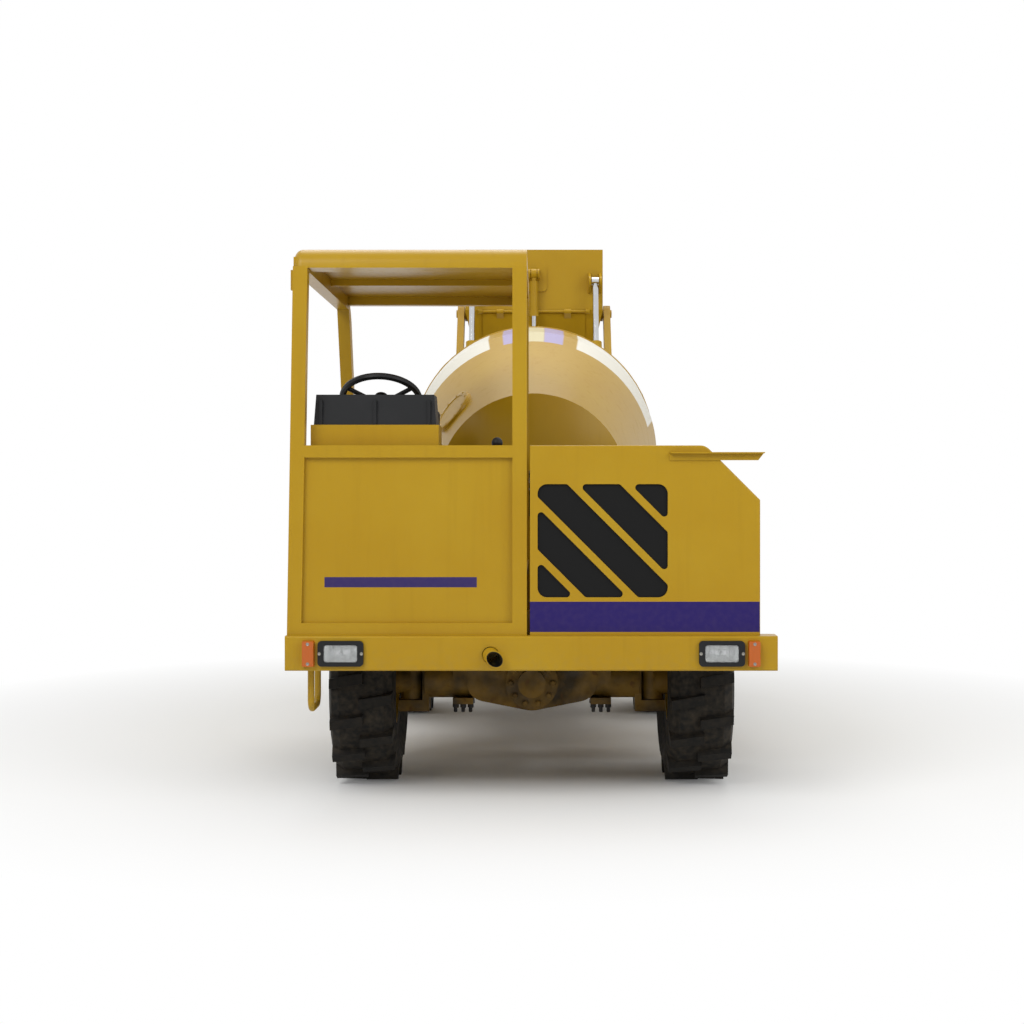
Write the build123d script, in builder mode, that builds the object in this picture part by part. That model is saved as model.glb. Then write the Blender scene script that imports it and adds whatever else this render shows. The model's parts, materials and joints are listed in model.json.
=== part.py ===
"""Self-loading concrete mixer: rigid 4x4 carrier, inclined drum, raised loader shovel and an open driver's stand.

Millimetres. +Z is up, +Y points from the engine hood to the loader, +X to the right when looking along +Y.
The origin is on the ground under the middle of the machine.
"""

import os
from math import cos, hypot, radians, sin

from build123d import *

os.makedirs("parts", exist_ok=True)

# Overall layout along the machine
hood_reach = 45.0  # tailpipe beyond the bumper's face
loader_reach = 5570.0  # shovel lip from the bumper's face
y_bumper = -(hood_reach + loader_reach) / 2 + hood_reach
wheelbase = 2450.0
hood_axle_at = 850.0  # from the bumper's face
y_hood_axle = y_bumper + hood_axle_at
y_loader_axle = y_hood_axle + wheelbase
running_gap = 0.3  # between a pin and the eye that turns on it
side_gap = 6.0  # between an eye and the cheek beside it

# Wheels, steering and axles
tyre_radius = 490.0
tyre_width = 318.0
tread_radius = 462.0  # floor between the lugs
lug_count = 15  # in each of the tyre's two rows
lug_root_radius = 404.0
tyre_facets = 2 * lug_count
rim_radius = 228.0
rim_width = 250.0
wheel_x = 804.0
kingpin_x = 600.0
kingpin_radius = 34.0
kingpin_half_height = 150.0
axle_tube_radius = 88.0
axle_z = tyre_radius

# Chassis frame
deck_z = 785.0
rail_height = 160.0
rail_width = 90.0
rail_outer_x = 390.0
rail_wall = 10.0
rail_rear_at = 110.0
rail_front_at = 4350.0
rail_rear_y = y_bumper + rail_rear_at
rail_front_y = y_bumper + rail_front_at
rail_z = deck_z - rail_height
rail_inner_x = rail_outer_x - rail_width

# Bumper beam across the hood end
bumper_half_width = 1100.0
bumper_height = 156.0
bumper_depth = 110.0
bumper_wall = 10.0
bumper_fold = 9.0
bumper_z = deck_z - bumper_height

# Panels above the bumper
panel_setback = 35.0
sheet = 10.0
panel_y = y_bumper + panel_setback
hood_left_x = -6.0
hood_inset = 73.0  # hood's right side in from the bumper's end
hood_right_x = bumper_half_width - hood_inset
hood_top_z = 1637.0
hood_chamfer = 245.0
hood_shoulder = 60.0
hood_fold = 8.0
hood_length = 1310.0
arch_half_length = 640.0
arch_top_z = 1035.0
swing_relief_width, swing_relief_height = 300.0, 70.0
grille_left_x = 28.0
grille_right_x = 612.0
grille_low_z = 955.0
grille_high_z = 1463.0
grille_corner = 43.0
grille_bar = 33.0
grille_pitch = 167.0
grille_tip = 16.0  # rounding of the slots' sharp tips

# Driver's stand
stand_inset = 4.0  # stand's left side in from the bumper's end
stand_left_x = -bumper_half_width + stand_inset
stand_right_x = -20.0
stand_tube = 65.0
stand_depth = 1650.0
floor_z = 1060.0
floor_plate = 20.0
mid_rail_z = 1637.0
canopy_top_z = 2525.0
canopy_lean = 27.0
far_post_foot_at = 2200.0
far_post_head_at = 1640.0
far_post_foot_y = y_bumper + far_post_foot_at
far_post_head_y = y_bumper + far_post_head_at
wing_width = 296.0
wing_right_x = stand_left_x + wing_width
driver_inset = 378.0  # seat and steering wheel from the stand's left side
driver_x = stand_left_x + driver_inset

# Drum
drum_tilt = 11.0
drum_head_at = 1950.0
drum_head_y = y_bumper + drum_head_at
drum_head_z = 1450.0
drum_head_radius = 535.0
drum_radius = 778.0
drum_mouth_radius = 330.0
drum_rear_cone = 1060.0
drum_belly = 300.0
drum_front_cone = 900.0
drum_collar = 80.0
drum_wall = 12.0
drum_dome = 110.0
track_ring_at = 1640.0
track_ring_width = 70.0
track_ring_height = 30.0

# Loader linkage, as (y, z) points of the side view
arm_pivot_at, arm_pivot_z = 4000.0, 1150.0
lift_base_at, lift_base_z = 4107.0, 870.0
arm_pivot = (y_bumper + arm_pivot_at, arm_pivot_z)
lift_base = (y_bumper + lift_base_at, lift_base_z)
lift_on_arm = 800.0  # lift rod's pin along the arm from its pivot
tilt_on_arm = 1050.0  # tilt barrel's pin along the arm from the shovel pivot
tilt_off_arm = 100.0  # and above the arm's centre line
arm_inner_x = 520.0
arm_thickness = 50.0
arm_tube_radius = 60.0
ram_x = 450.0  # centre plane of the lift and tilt cylinders
ram_eye_width = 50.0
pin_radius = 20.0
shovel_pin_radius = 30.0

# Shovel
shovel_half_width = 510.0
shovel_heel_half_width = 425.0
shovel_top_z = 3210.0
shovel_wall = 12.0
hatch_half_width = 380.0


def from_shovel(back, down):
    """Side-view point measured back from the shovel's lip and down from its top edge."""
    return y_bumper + loader_reach - back, shovel_top_z - down


shovel_lip = from_shovel(0.0, 830.0)
shovel_heel = from_shovel(600.0, 790.0)
shovel_top_front = from_shovel(510.0, 0.0)
shovel_pivot = from_shovel(640.0, 460.0)
tilt_tip = from_shovel(920.0, 250.0)
hatch_hinge = from_shovel(800.0, 446.0)
hatch_cylinder_head = from_shovel(900.0, 190.0)


def keep(part, name):
    part.label = name
    export_step(part, f"parts/{name}.step")


def along(start, end):
    return hypot(end[0] - start[0], end[1] - start[1])


def between(start, end, distance, offset=0.0):
    """Point on the line from start to end, moved to the left of the direction of travel by offset."""
    length = along(start, end)
    dy, dz = (end[0] - start[0]) / length, (end[1] - start[1]) / length
    return start[0] + dy * distance - dz * offset, start[1] + dz * distance + dy * offset


def cross_plane(x, point):
    """Plane across the machine at x, with its origin at a side-view point and its local axes along Y and Z."""
    return Plane(origin=(x, point[0], point[1]), x_dir=(0, 1, 0), z_dir=(1, 0, 0))


def ram_plane(x, start, end):
    """Plane at a side-view point, looking along the line to another."""
    return Plane(origin=(x, start[0], start[1]), x_dir=(1, 0, 0), z_dir=(0, end[0] - start[0], end[1] - start[1]))


def box(low_x, high_x, low_y, high_y, low_z, high_z, mode=Mode.ADD):
    with BuildSketch(Plane.XY.offset(low_z)) as plan:
        with Locations(((low_x + high_x) / 2, (low_y + high_y) / 2)):
            Rectangle(high_x - low_x, high_y - low_y)
    extrude(plan.sketch, amount=high_z - low_z, mode=mode)


def rod_across(low_x, high_x, point, radius, mode=Mode.ADD):
    with BuildSketch(cross_plane(low_x, point)) as section:
        Circle(radius)
    extrude(section.sketch, amount=high_x - low_x, mode=mode)


def side_plate(low_x, high_x, points, mode=Mode.ADD):
    """Flat plate of a side-view outline, from low_x to high_x."""
    with BuildSketch(cross_plane(low_x, (0, 0))) as section:
        with BuildLine():
            Polyline(*points, close=True)
        make_face()
    extrude(section.sketch, amount=high_x - low_x, mode=mode)


tilt_base = between(shovel_pivot, arm_pivot, tilt_on_arm, -tilt_off_arm)
lift_tip = between(arm_pivot, shovel_pivot, lift_on_arm)


# Chassis frame: two channel rails, cross-members, loader towers and the front posts of the hopper
tower_inner_x = 495.0
tower_plate = 17.0
tower_outer_x = arm_inner_x + arm_thickness + 8.0
clevis_inner_x = ram_x - ram_eye_width / 2 - side_gap - tower_plate
post_width = 70.0
post_z = 2010.0
cross_member_ys = [y_bumper + s for s in (140.0, 1480.0, 2500.0, 3850.0)]
cross_member_length = 120.0
front_member_y = y_bumper + 3890.0
front_member_length = 230.0

with BuildPart() as chassis_frame:
    for side in (-1, 1):
        with BuildSketch(Plane.XZ.offset(-rail_rear_y)):
            with Locations((side * (rail_outer_x - rail_width / 2), rail_z + rail_height / 2)):
                Rectangle(rail_width, rail_height)
            with Locations((side * (rail_inner_x + (rail_width - rail_wall) / 2), rail_z + rail_height / 2)):
                Rectangle(rail_width - rail_wall, rail_height - 2 * rail_wall, mode=Mode.SUBTRACT)
        extrude(amount=-(rail_front_y - rail_rear_y))
    for y in cross_member_ys:
        box(-rail_inner_x - rail_wall, rail_inner_x + rail_wall, y, y + cross_member_length, rail_z + 20, deck_z)
    front_low_z = deck_z - 90.0
    tower_right = tower_outer_x + tower_plate
    box(-tower_right, tower_right, front_member_y, front_member_y + front_member_length, front_low_z, deck_z)
    tower_top = 95.0
    for side in (-1, 1):
        for low_x in (tower_inner_x, tower_outer_x):
            outer = side * low_x if side > 0 else side * (low_x + tower_plate)
            with BuildSketch(cross_plane(outer, (0, 0))):
                with Locations(arm_pivot):
                    Circle(tower_top)
                with Locations((arm_pivot[0], (arm_pivot[1] + deck_z) / 2)):
                    Rectangle(2 * tower_top, arm_pivot[1] - deck_z)
                with Locations((front_member_y + front_member_length / 2, deck_z + 60)):
                    Rectangle(front_member_length, 120)
                with Locations(arm_pivot):
                    Circle(arm_tube_radius + running_gap, mode=Mode.SUBTRACT)
            extrude(amount=tower_plate)
        # clevis of the lift cylinder: the tower's inner cheek and one more plate carry its pin
        inner = side * clevis_inner_x if side > 0 else side * (clevis_inner_x + tower_plate)
        with BuildSketch(cross_plane(inner, (0, 0))):
            with Locations(lift_base):
                Circle(55)
            with Locations((lift_base[0] - 20, (lift_base[1] + deck_z) / 2)):
                Rectangle(150, lift_base[1] - deck_z)
            with Locations((front_member_y + front_member_length / 2, deck_z + 10)):
                Rectangle(front_member_length, 20)
        extrude(amount=tower_plate)
        low, high = sorted((side * clevis_inner_x, side * (tower_inner_x + tower_plate)))
        rod_across(low, high, lift_base, pin_radius)
        post_low, post_high = sorted((side * (rail_outer_x - post_width), side * rail_outer_x))
        box(post_low, post_high, rail_front_y - post_width, rail_front_y, deck_z, post_z)
    box(-rail_inner_x - rail_wall, rail_inner_x + rail_wall, rail_front_y - 80, rail_front_y, rail_z + 20, deck_z)
keep(chassis_frame.part, "chassis_frame")


# Bumper beam: channel open to the rear, with lamp cut-outs and the tailpipe's hole
lamp_width, lamp_height, lamp_z = 176.0, 92.0, 707.0
lamp_inset, turn_lamp_inset = 250.0, 106.0  # lamps in from the bumper's ends
lamp_x = bumper_half_width - lamp_inset
pipe_x, pipe_z, pipe_radius = -182.0, 700.0, 35.0

with BuildPart() as bumper_beam:
    box(-bumper_half_width, bumper_half_width, y_bumper, y_bumper + bumper_depth, bumper_z, deck_z)
    fillet(bumper_beam.edges().filter_by(Axis.X).group_by(Axis.Y)[0], bumper_fold)
    box(
        -bumper_half_width + bumper_wall,
        bumper_half_width - bumper_wall,
        y_bumper + bumper_wall,
        y_bumper + bumper_depth,
        bumper_z + bumper_wall,
        deck_z - bumper_wall,
        mode=Mode.SUBTRACT,
    )
    for side in (-1, 1):
        x = side * lamp_x
        box(
            x - lamp_width / 2,
            x + lamp_width / 2,
            y_bumper,
            y_bumper + bumper_wall,
            lamp_z - lamp_height / 2,
            lamp_z + lamp_height / 2,
            mode=Mode.SUBTRACT,
        )
    with BuildSketch(Plane.XZ.offset(-y_bumper)):
        with Locations((pipe_x, pipe_z)):
            Circle(pipe_radius + 3)
    extrude(amount=-bumper_wall, mode=Mode.SUBTRACT)
keep(bumper_beam.part, "bumper_beam")


# Lamps: black bezel with a reflector bowl, clear lens in front, amber side lamp beside it
bezel_width, bezel_height, bezel_depth = 204.0, 114.0, 16.0
lamp_body_depth = 80.0
lens_thickness = 8.0
turn_lamp_width, turn_lamp_height, turn_lamp_depth = 56.0, 118.0, 30.0
turn_lamp_x = bumper_half_width - turn_lamp_inset

with BuildPart() as headlamp_bezels:
    for side in (-1, 1):
        with BuildSketch(Plane.XZ.offset(-y_bumper)):
            with Locations((side * lamp_x, lamp_z)):
                RectangleRounded(bezel_width, bezel_height, 18)
        extrude(amount=bezel_depth)
        with BuildSketch(Plane.XZ.offset(-y_bumper)):
            with Locations((side * lamp_x, lamp_z)):
                Rectangle(lamp_width - 2 * running_gap, lamp_height - 2 * running_gap)
        extrude(amount=-lamp_body_depth)
        with BuildSketch(Plane.XZ.offset(-(y_bumper - bezel_depth))):
            with Locations((side * lamp_x, lamp_z)):
                RectangleRounded(lamp_width - 26, lamp_height - 16, 12)
        extrude(amount=-(bezel_depth + lamp_body_depth - 20), mode=Mode.SUBTRACT)
keep(headlamp_bezels.part, "headlamp_bezels")

with BuildPart() as headlamp_lenses:
    for side in (-1, 1):
        with BuildSketch(Plane.XZ.offset(-(y_bumper - bezel_depth + 4))):
            with Locations((side * lamp_x, lamp_z)):
                RectangleRounded(lamp_width - 26 - 2 * running_gap, lamp_height - 16 - 2 * running_gap, 12)
        extrude(amount=-lens_thickness)
keep(headlamp_lenses.part, "headlamp_lenses")

with BuildPart() as turn_lamps:
    for side in (-1, 1):
        with BuildSketch(Plane.XZ.offset(-y_bumper)):
            with Locations((side * turn_lamp_x, lamp_z)):
                RectangleRounded(turn_lamp_width, turn_lamp_height, 8)
        extrude(amount=turn_lamp_depth, taper=6)
keep(turn_lamps.part, "turn_lamps")

pipe_root_y = cross_member_ys[0]
pipe_wall = 5.0
elbow_y = y_bumper - 6.0
elbow_shift = (46.0, -34.0)  # outlet's sideways and downward offset over the elbow's length
elbow_length = 90.0
with BuildPart() as exhaust_pipe:
    for radius, root_y, mode in (
        (pipe_radius, pipe_root_y, Mode.ADD),
        (pipe_radius - pipe_wall, pipe_root_y - 20, Mode.SUBTRACT),
    ):
        with BuildLine() as pipe_route:
            Polyline(
                (pipe_x, root_y, pipe_z),
                (pipe_x, elbow_y, pipe_z),
                (pipe_x + elbow_shift[0], elbow_y - elbow_length, pipe_z + elbow_shift[1]),
            )
        with BuildSketch(Plane.XZ.offset(-root_y)) as pipe_section:
            with Locations((pipe_x, pipe_z)):
                Circle(radius)
        sweep(pipe_section.sketch, path=pipe_route.wires()[0], transition=Transition.RIGHT, mode=mode)
    split(bisect_by=Plane.XZ.offset(-(y_bumper - hood_reach)), keep=Keep.BOTTOM)
keep(exhaust_pipe.part, "exhaust_pipe")


# Engine hood: folded shell, open below, with slanted grille slots and a wheel arch
def hood_outline(inset):
    """Front view of the hood, drawn in by inset on its sides and top."""
    slant = inset * 0.4142  # a 45 degree corner moves by the tangent of its half angle
    right, left, top = hood_right_x - inset, hood_left_x + inset, hood_top_z - inset
    chamfer = hood_chamfer - inset + slant
    with BuildLine() as outline:
        Polyline(
            (left, deck_z),
            (right, deck_z),
            (right, top - chamfer),
            (right - chamfer, top),
            (left, top),
            close=True,
        )
    make_face(outline.edges())


grille_mid_x = (grille_left_x + grille_right_x) / 2
grille_mid_z = (grille_low_z + grille_high_z) / 2
grille_width = grille_right_x - grille_left_x
grille_height = grille_high_z - grille_low_z
grille_bar_length = 1000.0

with BuildPart() as hood_panels:
    with BuildSketch(Plane.XZ.offset(-panel_y)):
        hood_outline(0)
    extrude(amount=-hood_length)
    fillet(hood_panels.edges().filter_by(Axis.Y).group_by(Axis.Z)[-1].sort_by(Axis.X)[-1], hood_shoulder)
    front_edges = hood_panels.edges().group_by(Axis.Y)[0]
    fillet(front_edges.filter_by(lambda edge: edge.center().Z > deck_z + 1 and edge.center().X > hood_left_x + 1), hood_fold)
    with BuildSketch(Plane.XZ.offset(-(panel_y + sheet))):
        hood_outline(sheet)
    extrude(amount=-(hood_length - 2 * sheet), mode=Mode.SUBTRACT)
    # grille slots: a rounded window less the slanted bars that cross it
    with BuildSketch(Plane.XZ.offset(-panel_y)) as slots:
        with Locations((grille_mid_x, grille_mid_z)):
            RectangleRounded(grille_width, grille_height, grille_corner)
        for step in (-1.5, -0.5, 0.5, 1.5):
            with Locations(Location((grille_mid_x, grille_mid_z), -45)):
                with Locations((0, step * grille_pitch)):
                    Rectangle(grille_bar_length, grille_bar, mode=Mode.SUBTRACT)
        slanted = slots.edges().filter_by(lambda edge: abs(edge.tangent_at(0).X * edge.tangent_at(0).Y) > 0.4)
        fillet(slanted.filter_by(GeomType.LINE).vertices(), grille_tip)
    extrude(amount=-sheet, mode=Mode.SUBTRACT)
    side_plate(
        hood_right_x - 2 * sheet,
        hood_right_x + 1,
        [
            (y_hood_axle - arch_half_length, deck_z),
            (y_hood_axle + arch_half_length, deck_z),
            (y_hood_axle + arch_half_length - 200, arch_top_z),
            (y_hood_axle - arch_half_length + 200, arch_top_z),
        ],
        mode=Mode.SUBTRACT,
    )
    # the rear wall's foot is cut away where the steered tyre swings past it
    rear_y = panel_y + hood_length
    box(
        wheel_x - swing_relief_width,
        hood_right_x + 1,
        rear_y - 2 * sheet,
        rear_y + 1,
        deck_z - 1,
        deck_z + swing_relief_height,
        mode=Mode.SUBTRACT,
    )
keep(hood_panels.part, "hood_panels")

screen_margin = 20.0
with BuildPart() as radiator_screen:
    box(
        grille_left_x - screen_margin,
        grille_right_x + screen_margin,
        panel_y + sheet,
        panel_y + sheet + 8,
        grille_low_z - screen_margin,
        grille_high_z + screen_margin,
    )
keep(radiator_screen.part, "radiator_screen")

with BuildPart() as engine_block:
    box(30, 395, y_bumper + 330, y_bumper + 1120, deck_z, 1400)
keep(engine_block.part, "engine_block")

rack_length, rack_overhang = 424.0, 18.0
rack_right_x = hood_right_x + rack_overhang
rack_left_x = rack_right_x - rack_length
rack_z, rack_height, rack_leg, rack_plate = 1606.0, 36.0, 34.0, 6.0
with BuildPart() as rack_bracket:
    # angle section bolted to the hood's face, its free end cut at a slant
    with BuildSketch(Plane.XZ.offset(-panel_y)):
        with BuildLine():
            Polyline(
                (rack_left_x, rack_z - rack_height),
                (rack_right_x - 28, rack_z - rack_height),
                (rack_right_x, rack_z),
                (rack_left_x, rack_z),
                close=True,
            )
        make_face()
    extrude(amount=rack_leg)
    with BuildSketch(Plane.XZ.offset(-(panel_y - rack_plate))):
        with Locations(((rack_left_x + rack_right_x) / 2, rack_z - rack_plate - rack_height / 2)):
            Rectangle(rack_right_x - rack_left_x + 100, rack_height)
    extrude(amount=rack_leg, mode=Mode.SUBTRACT)
keep(rack_bracket.part, "rack_bracket")


# Driver's stand: floor with skirt, tube hoop and back panel, canopy, console, seat
notch_y = y_bumper + 1540.0
notch_x = -420.0
stand_end_y = panel_y + stand_depth
wing_end_y = far_post_foot_y + 100

with BuildPart() as stand_floor:
    with BuildSketch(Plane.XY.offset(floor_z - floor_plate)):
        with BuildLine():
            Polyline(
                (stand_left_x, panel_y + stand_tube),
                (stand_right_x, panel_y + stand_tube),
                (stand_right_x, notch_y),
                (notch_x, notch_y),
                (notch_x, stand_end_y),
                (wing_right_x, stand_end_y),
                (wing_right_x, wing_end_y),
                (stand_left_x, wing_end_y),
                close=True,
            )
        make_face()
    extrude(amount=floor_plate)
    side_plate(
        stand_left_x,
        stand_left_x + sheet,
        [
            (panel_y + stand_tube, deck_z),
            (panel_y + stand_tube, floor_z - floor_plate),
            (wing_end_y, floor_z - floor_plate),
            (wing_end_y, deck_z),
            (y_hood_axle + arch_half_length, deck_z),
            (y_hood_axle + arch_half_length - 180, floor_z - floor_plate - 2),
            (y_hood_axle - arch_half_length + 180, floor_z - floor_plate - 2),
            (y_hood_axle - arch_half_length, deck_z),
        ],
    )
    # bearers from the left rail up to the floor
    for y in (panel_y + stand_tube, notch_y - 60):
        box(-rail_outer_x, -rail_inner_x, y, y + 60, deck_z, floor_z - floor_plate)
        box(stand_right_x - 60, stand_right_x, y, y + 60, floor_z - 80, floor_z - floor_plate)
keep(stand_floor.part, "stand_floor")

foot_rail = 55.0
near_right_y = notch_y - stand_tube - 45
lean = canopy_lean * (mid_rail_z - deck_z) / (canopy_top_z - deck_z)
rail_top_z = canopy_top_z - 40
header_low_z = canopy_top_z - 85
far_left_x = stand_left_x + canopy_lean
head_beam_depth, head_beam_height = 130.0, 92.0
head_bend, head_corner = 85.0, 38.0
post_bend = 150.0  # inner radius where the left rail bends down into its post
tab_thickness, tab_height = 12.0, 105.0
with BuildPart() as canopy_frame:
    # head beam, rolled back at its top edge
    box(far_left_x, stand_right_x, panel_y, panel_y + head_beam_depth, canopy_top_z - head_beam_height, canopy_top_z)
    fillet(canopy_frame.edges().filter_by(Axis.X).group_by(Axis.Y)[0].sort_by(Axis.Z)[-1], head_bend)
    fillet(canopy_frame.edges().filter_by(Axis.Y).group_by(Axis.Z)[-1].sort_by(Axis.X)[0], head_corner)
    # near hoop in the plane of the hood's face: posts, mid rail and foot rail round the back panel
    with BuildSketch(Plane.XZ.offset(-panel_y)):
        with BuildLine():
            Polyline(
                (stand_left_x, deck_z),
                (stand_right_x, deck_z),
                (stand_right_x, header_low_z),
                (far_left_x, header_low_z),
                close=True,
            )
        make_face()
        with BuildLine():
            Polyline(
                (stand_left_x + stand_tube + lean, mid_rail_z),
                (stand_right_x - stand_tube, mid_rail_z),
                (stand_right_x - stand_tube, header_low_z + 1),
                (far_left_x + stand_tube, header_low_z + 1),
                close=True,
            )
        make_face(mode=Mode.SUBTRACT)
        with BuildLine():
            Polyline(
                (stand_left_x + stand_tube, deck_z + foot_rail),
                (stand_right_x - stand_tube, deck_z + foot_rail),
                (stand_right_x - stand_tube, mid_rail_z - foot_rail),
                (stand_left_x + stand_tube + lean, mid_rail_z - foot_rail),
                close=True,
            )
        make_face(mode=Mode.SUBTRACT)
    extrude(amount=-stand_tube)
    # left rail bent down into the raked far post
    with BuildSketch(cross_plane(far_left_x, (0, 0))) as bent_rail:
        with BuildLine():
            Polyline(
                (panel_y + 20, rail_top_z),
                (far_post_head_y + stand_tube, rail_top_z),
                (far_post_foot_y + stand_tube, floor_z),
                (far_post_foot_y, floor_z),
                (far_post_head_y - 10, rail_top_z - stand_tube),
                (panel_y + 20, rail_top_z - stand_tube),
                close=True,
            )
        make_face()
        by_height = bent_rail.vertices().group_by(Axis.Y)
        fillet(by_height[-1].sort_by(Axis.X)[-1], post_bend + stand_tube)
        fillet(by_height[-2].sort_by(Axis.X)[-1], post_bend)
    extrude(amount=stand_tube)
    # right rail on its upright post, and the far header
    right_x = stand_right_x - stand_tube
    box(right_x, stand_right_x, near_right_y, near_right_y + stand_tube, floor_z, rail_top_z)
    box(right_x, stand_right_x, panel_y + 20, far_post_head_y + 20, header_low_z + 20, rail_top_z)
    box(far_left_x, stand_right_x, far_post_head_y - 60, far_post_head_y + 5, header_low_z, rail_top_z)
    # rain strip on the left post
    box(far_left_x - tab_thickness, far_left_x + 20, panel_y + 15, panel_y + 50,
        header_low_z - tab_height, header_low_z - 15)
keep(canopy_frame.part, "canopy_frame")

with BuildPart() as canopy_roof:
    box(
        far_left_x + 20,
        stand_right_x,
        panel_y + head_beam_depth,
        far_post_head_y + 5,
        rail_top_z,
        canopy_top_z - 10,
    )
    rib_low_z = canopy_top_z - 70
    for y in (panel_y + head_beam_depth + 150, panel_y + stand_depth / 2):
        box(far_left_x + stand_tube, stand_right_x - stand_tube, y, y + 30, rib_low_z, rail_top_z)
keep(canopy_roof.part, "canopy_roof")

with BuildPart() as back_panel:
    with BuildSketch(Plane.XZ.offset(-(panel_y + 20))):
        with BuildLine():
            Polyline(
                (stand_left_x + stand_tube, deck_z + foot_rail),
                (stand_right_x - stand_tube, deck_z + foot_rail),
                (stand_right_x - stand_tube, mid_rail_z - foot_rail),
                (stand_left_x + stand_tube + lean, mid_rail_z - foot_rail),
                close=True,
            )
        make_face()
    extrude(amount=-12)
keep(back_panel.part, "back_panel")

console_inset, console_width = 96.0, 580.0
console_left_x = stand_left_x + console_inset
console_right_x = console_left_x + console_width
console_y, console_depth, console_top_z = y_bumper + 112.0, 230.0, 1732.0
cowl_top_z = 1870.0
with BuildPart() as console_box:
    box(console_left_x, console_right_x, console_y, console_y + console_depth, floor_z, console_top_z)
keep(console_box.part, "console_box")

cowl_taper = 12.0
cowl_rib, cowl_rib_width = 8.0, 14.0
with BuildPart() as console_cowl:
    with BuildSketch(Plane.XY.offset(console_top_z)):
        with Locations(((console_left_x + console_right_x) / 2, console_y + console_depth / 2 + cowl_rib)):
            Rectangle(console_right_x - console_left_x - 2 * cowl_taper, console_depth - 2 * cowl_rib)
    extrude(amount=cowl_top_z - console_top_z, taper=4)
    for x in (console_left_x + 45, (console_left_x + console_right_x) / 2, console_right_x - 45):
        box(
            x - cowl_rib_width / 2,
            x + cowl_rib_width / 2,
            console_y + cowl_rib,
            console_y + 60,
            console_top_z,
            cowl_top_z - 25,
        )
keep(console_cowl.part, "console_cowl")

steer_x, steer_y, steer_z = driver_x, y_bumper + 500.0, 1872.0
steer_tilt = 32.0  # rim's plane from the horizontal, towards the driver
steer_radius, steer_grip = 182.0, 16.0
steer_axis = (0, sin(radians(steer_tilt)), cos(radians(steer_tilt)))
steer_plane = Plane(origin=(steer_x, steer_y, steer_z), x_dir=(1, 0, 0), z_dir=steer_axis)
column_length = 330.0
hub_drop = 45.0

with BuildPart() as steering_column:
    with BuildSketch(steer_plane.offset(-hub_drop - running_gap)):
        Circle(26)
    extrude(amount=-column_length)
    split(bisect_by=Plane(origin=(0, console_y + console_depth, 0), z_dir=(0, 1, 0)), keep=Keep.TOP)
keep(steering_column.part, "steering_column")

with BuildPart() as steering_wheel:
    with BuildSketch(Plane(origin=steer_plane.origin, x_dir=(1, 0, 0), z_dir=steer_plane.y_dir)):
        with Locations((steer_radius, 0)):
            RegularPolygon(steer_grip, 8)
    revolve(axis=Axis(steer_plane.origin, steer_axis))
    with BuildSketch(steer_plane.offset(-hub_drop)):
        Circle(40)
    extrude(amount=30)
    spoke_drop = 30.0
    for angle in (90, 210, 330):
        tip = Vector(cos(radians(angle)), sin(radians(angle)), 0)
        start = steer_plane.from_local_coords(tip * 25 - Vector(0, 0, spoke_drop))
        end = steer_plane.from_local_coords(tip * steer_radius)
        with BuildSketch(Plane(origin=start, z_dir=end - start)):
            Circle(11)
        extrude(amount=(end - start).length)
keep(steering_wheel.part, "steering_wheel")

seat_x, seat_y, seat_width, seat_depth = driver_x, y_bumper + 1130.0, 470.0, 430.0
seat_z = 1420.0
cushion_height = 85.0
back_top_z = 1880.0
seat_seam = 0.3
with BuildPart() as seat_base:
    box(seat_x - 190, seat_x + 190, seat_y + 40, seat_y + seat_depth - 20, floor_z, seat_z)
keep(seat_base.part, "seat_base")

with BuildPart() as seat_cushion:
    box(seat_x - seat_width / 2, seat_x + seat_width / 2, seat_y, seat_y + seat_depth, seat_z, seat_z + cushion_height)
    fillet(seat_cushion.edges(), 25)
keep(seat_cushion.part, "seat_cushion")

with BuildPart() as seat_back:
    side_plate(
        seat_x - seat_width / 2,
        seat_x + seat_width / 2,
        [
            (seat_y + seat_depth - 90, seat_z + cushion_height + seat_seam),
            (seat_y + seat_depth + 10, seat_z + cushion_height + seat_seam),
            (seat_y + seat_depth + 70, back_top_z),
            (seat_y + seat_depth - 20, back_top_z),
        ],
    )
    fillet(seat_back.edges(), 25)
keep(seat_back.part, "seat_back")

step_inset = 100.0
step_x = -bumper_half_width + step_inset
step_bar_radius, step_bend = 15.0, 50.0
step_near_y = y_bumper + bumper_depth + step_bar_radius + running_gap
step_length, step_low_z = 225.0, 440.0
with BuildPart() as access_step:
    # round bar bent to a stirrup: near leg on the bumper's rear edge, far leg up to the floor
    with BuildLine(cross_plane(step_x, (0, 0))) as step_route:
        FilletPolyline(
            (step_near_y, deck_z),
            (step_near_y, step_low_z),
            (step_near_y + step_length, step_low_z),
            (step_near_y + step_length, floor_z - floor_plate),
            radius=step_bend,
        )
    with BuildSketch(Plane.XY.offset(deck_z)) as step_section:
        with Locations((step_x, step_near_y)):
            Circle(step_bar_radius)
    sweep(step_section.sketch, path=step_route.wires()[0])
keep(access_step.part, "access_step")


# Tanks between the wheels
tank_inner_x, tank_top_z = 470.0, 1050.0
filler_radius, filler_height = 85.0, 45.0
bearer_height = 60.0
with BuildPart() as water_tank:
    box(tank_inner_x, hood_right_x - 7, y_bumper + 1500, y_bumper + 2640, 610, tank_top_z)
    fillet(water_tank.edges().filter_by(Axis.Y), 60)
    with BuildSketch(Plane.XY.offset(tank_top_z)):
        with Locations((hood_right_x - 250, y_bumper + 1750)):
            Circle(filler_radius)
    extrude(amount=filler_height)
    for y in (y_bumper + 1700, y_bumper + 2400):
        box(rail_outer_x, tank_inner_x + 30, y, y + 80, rail_z + 30, rail_z + 30 + bearer_height)
keep(water_tank.part, "water_tank")

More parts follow.
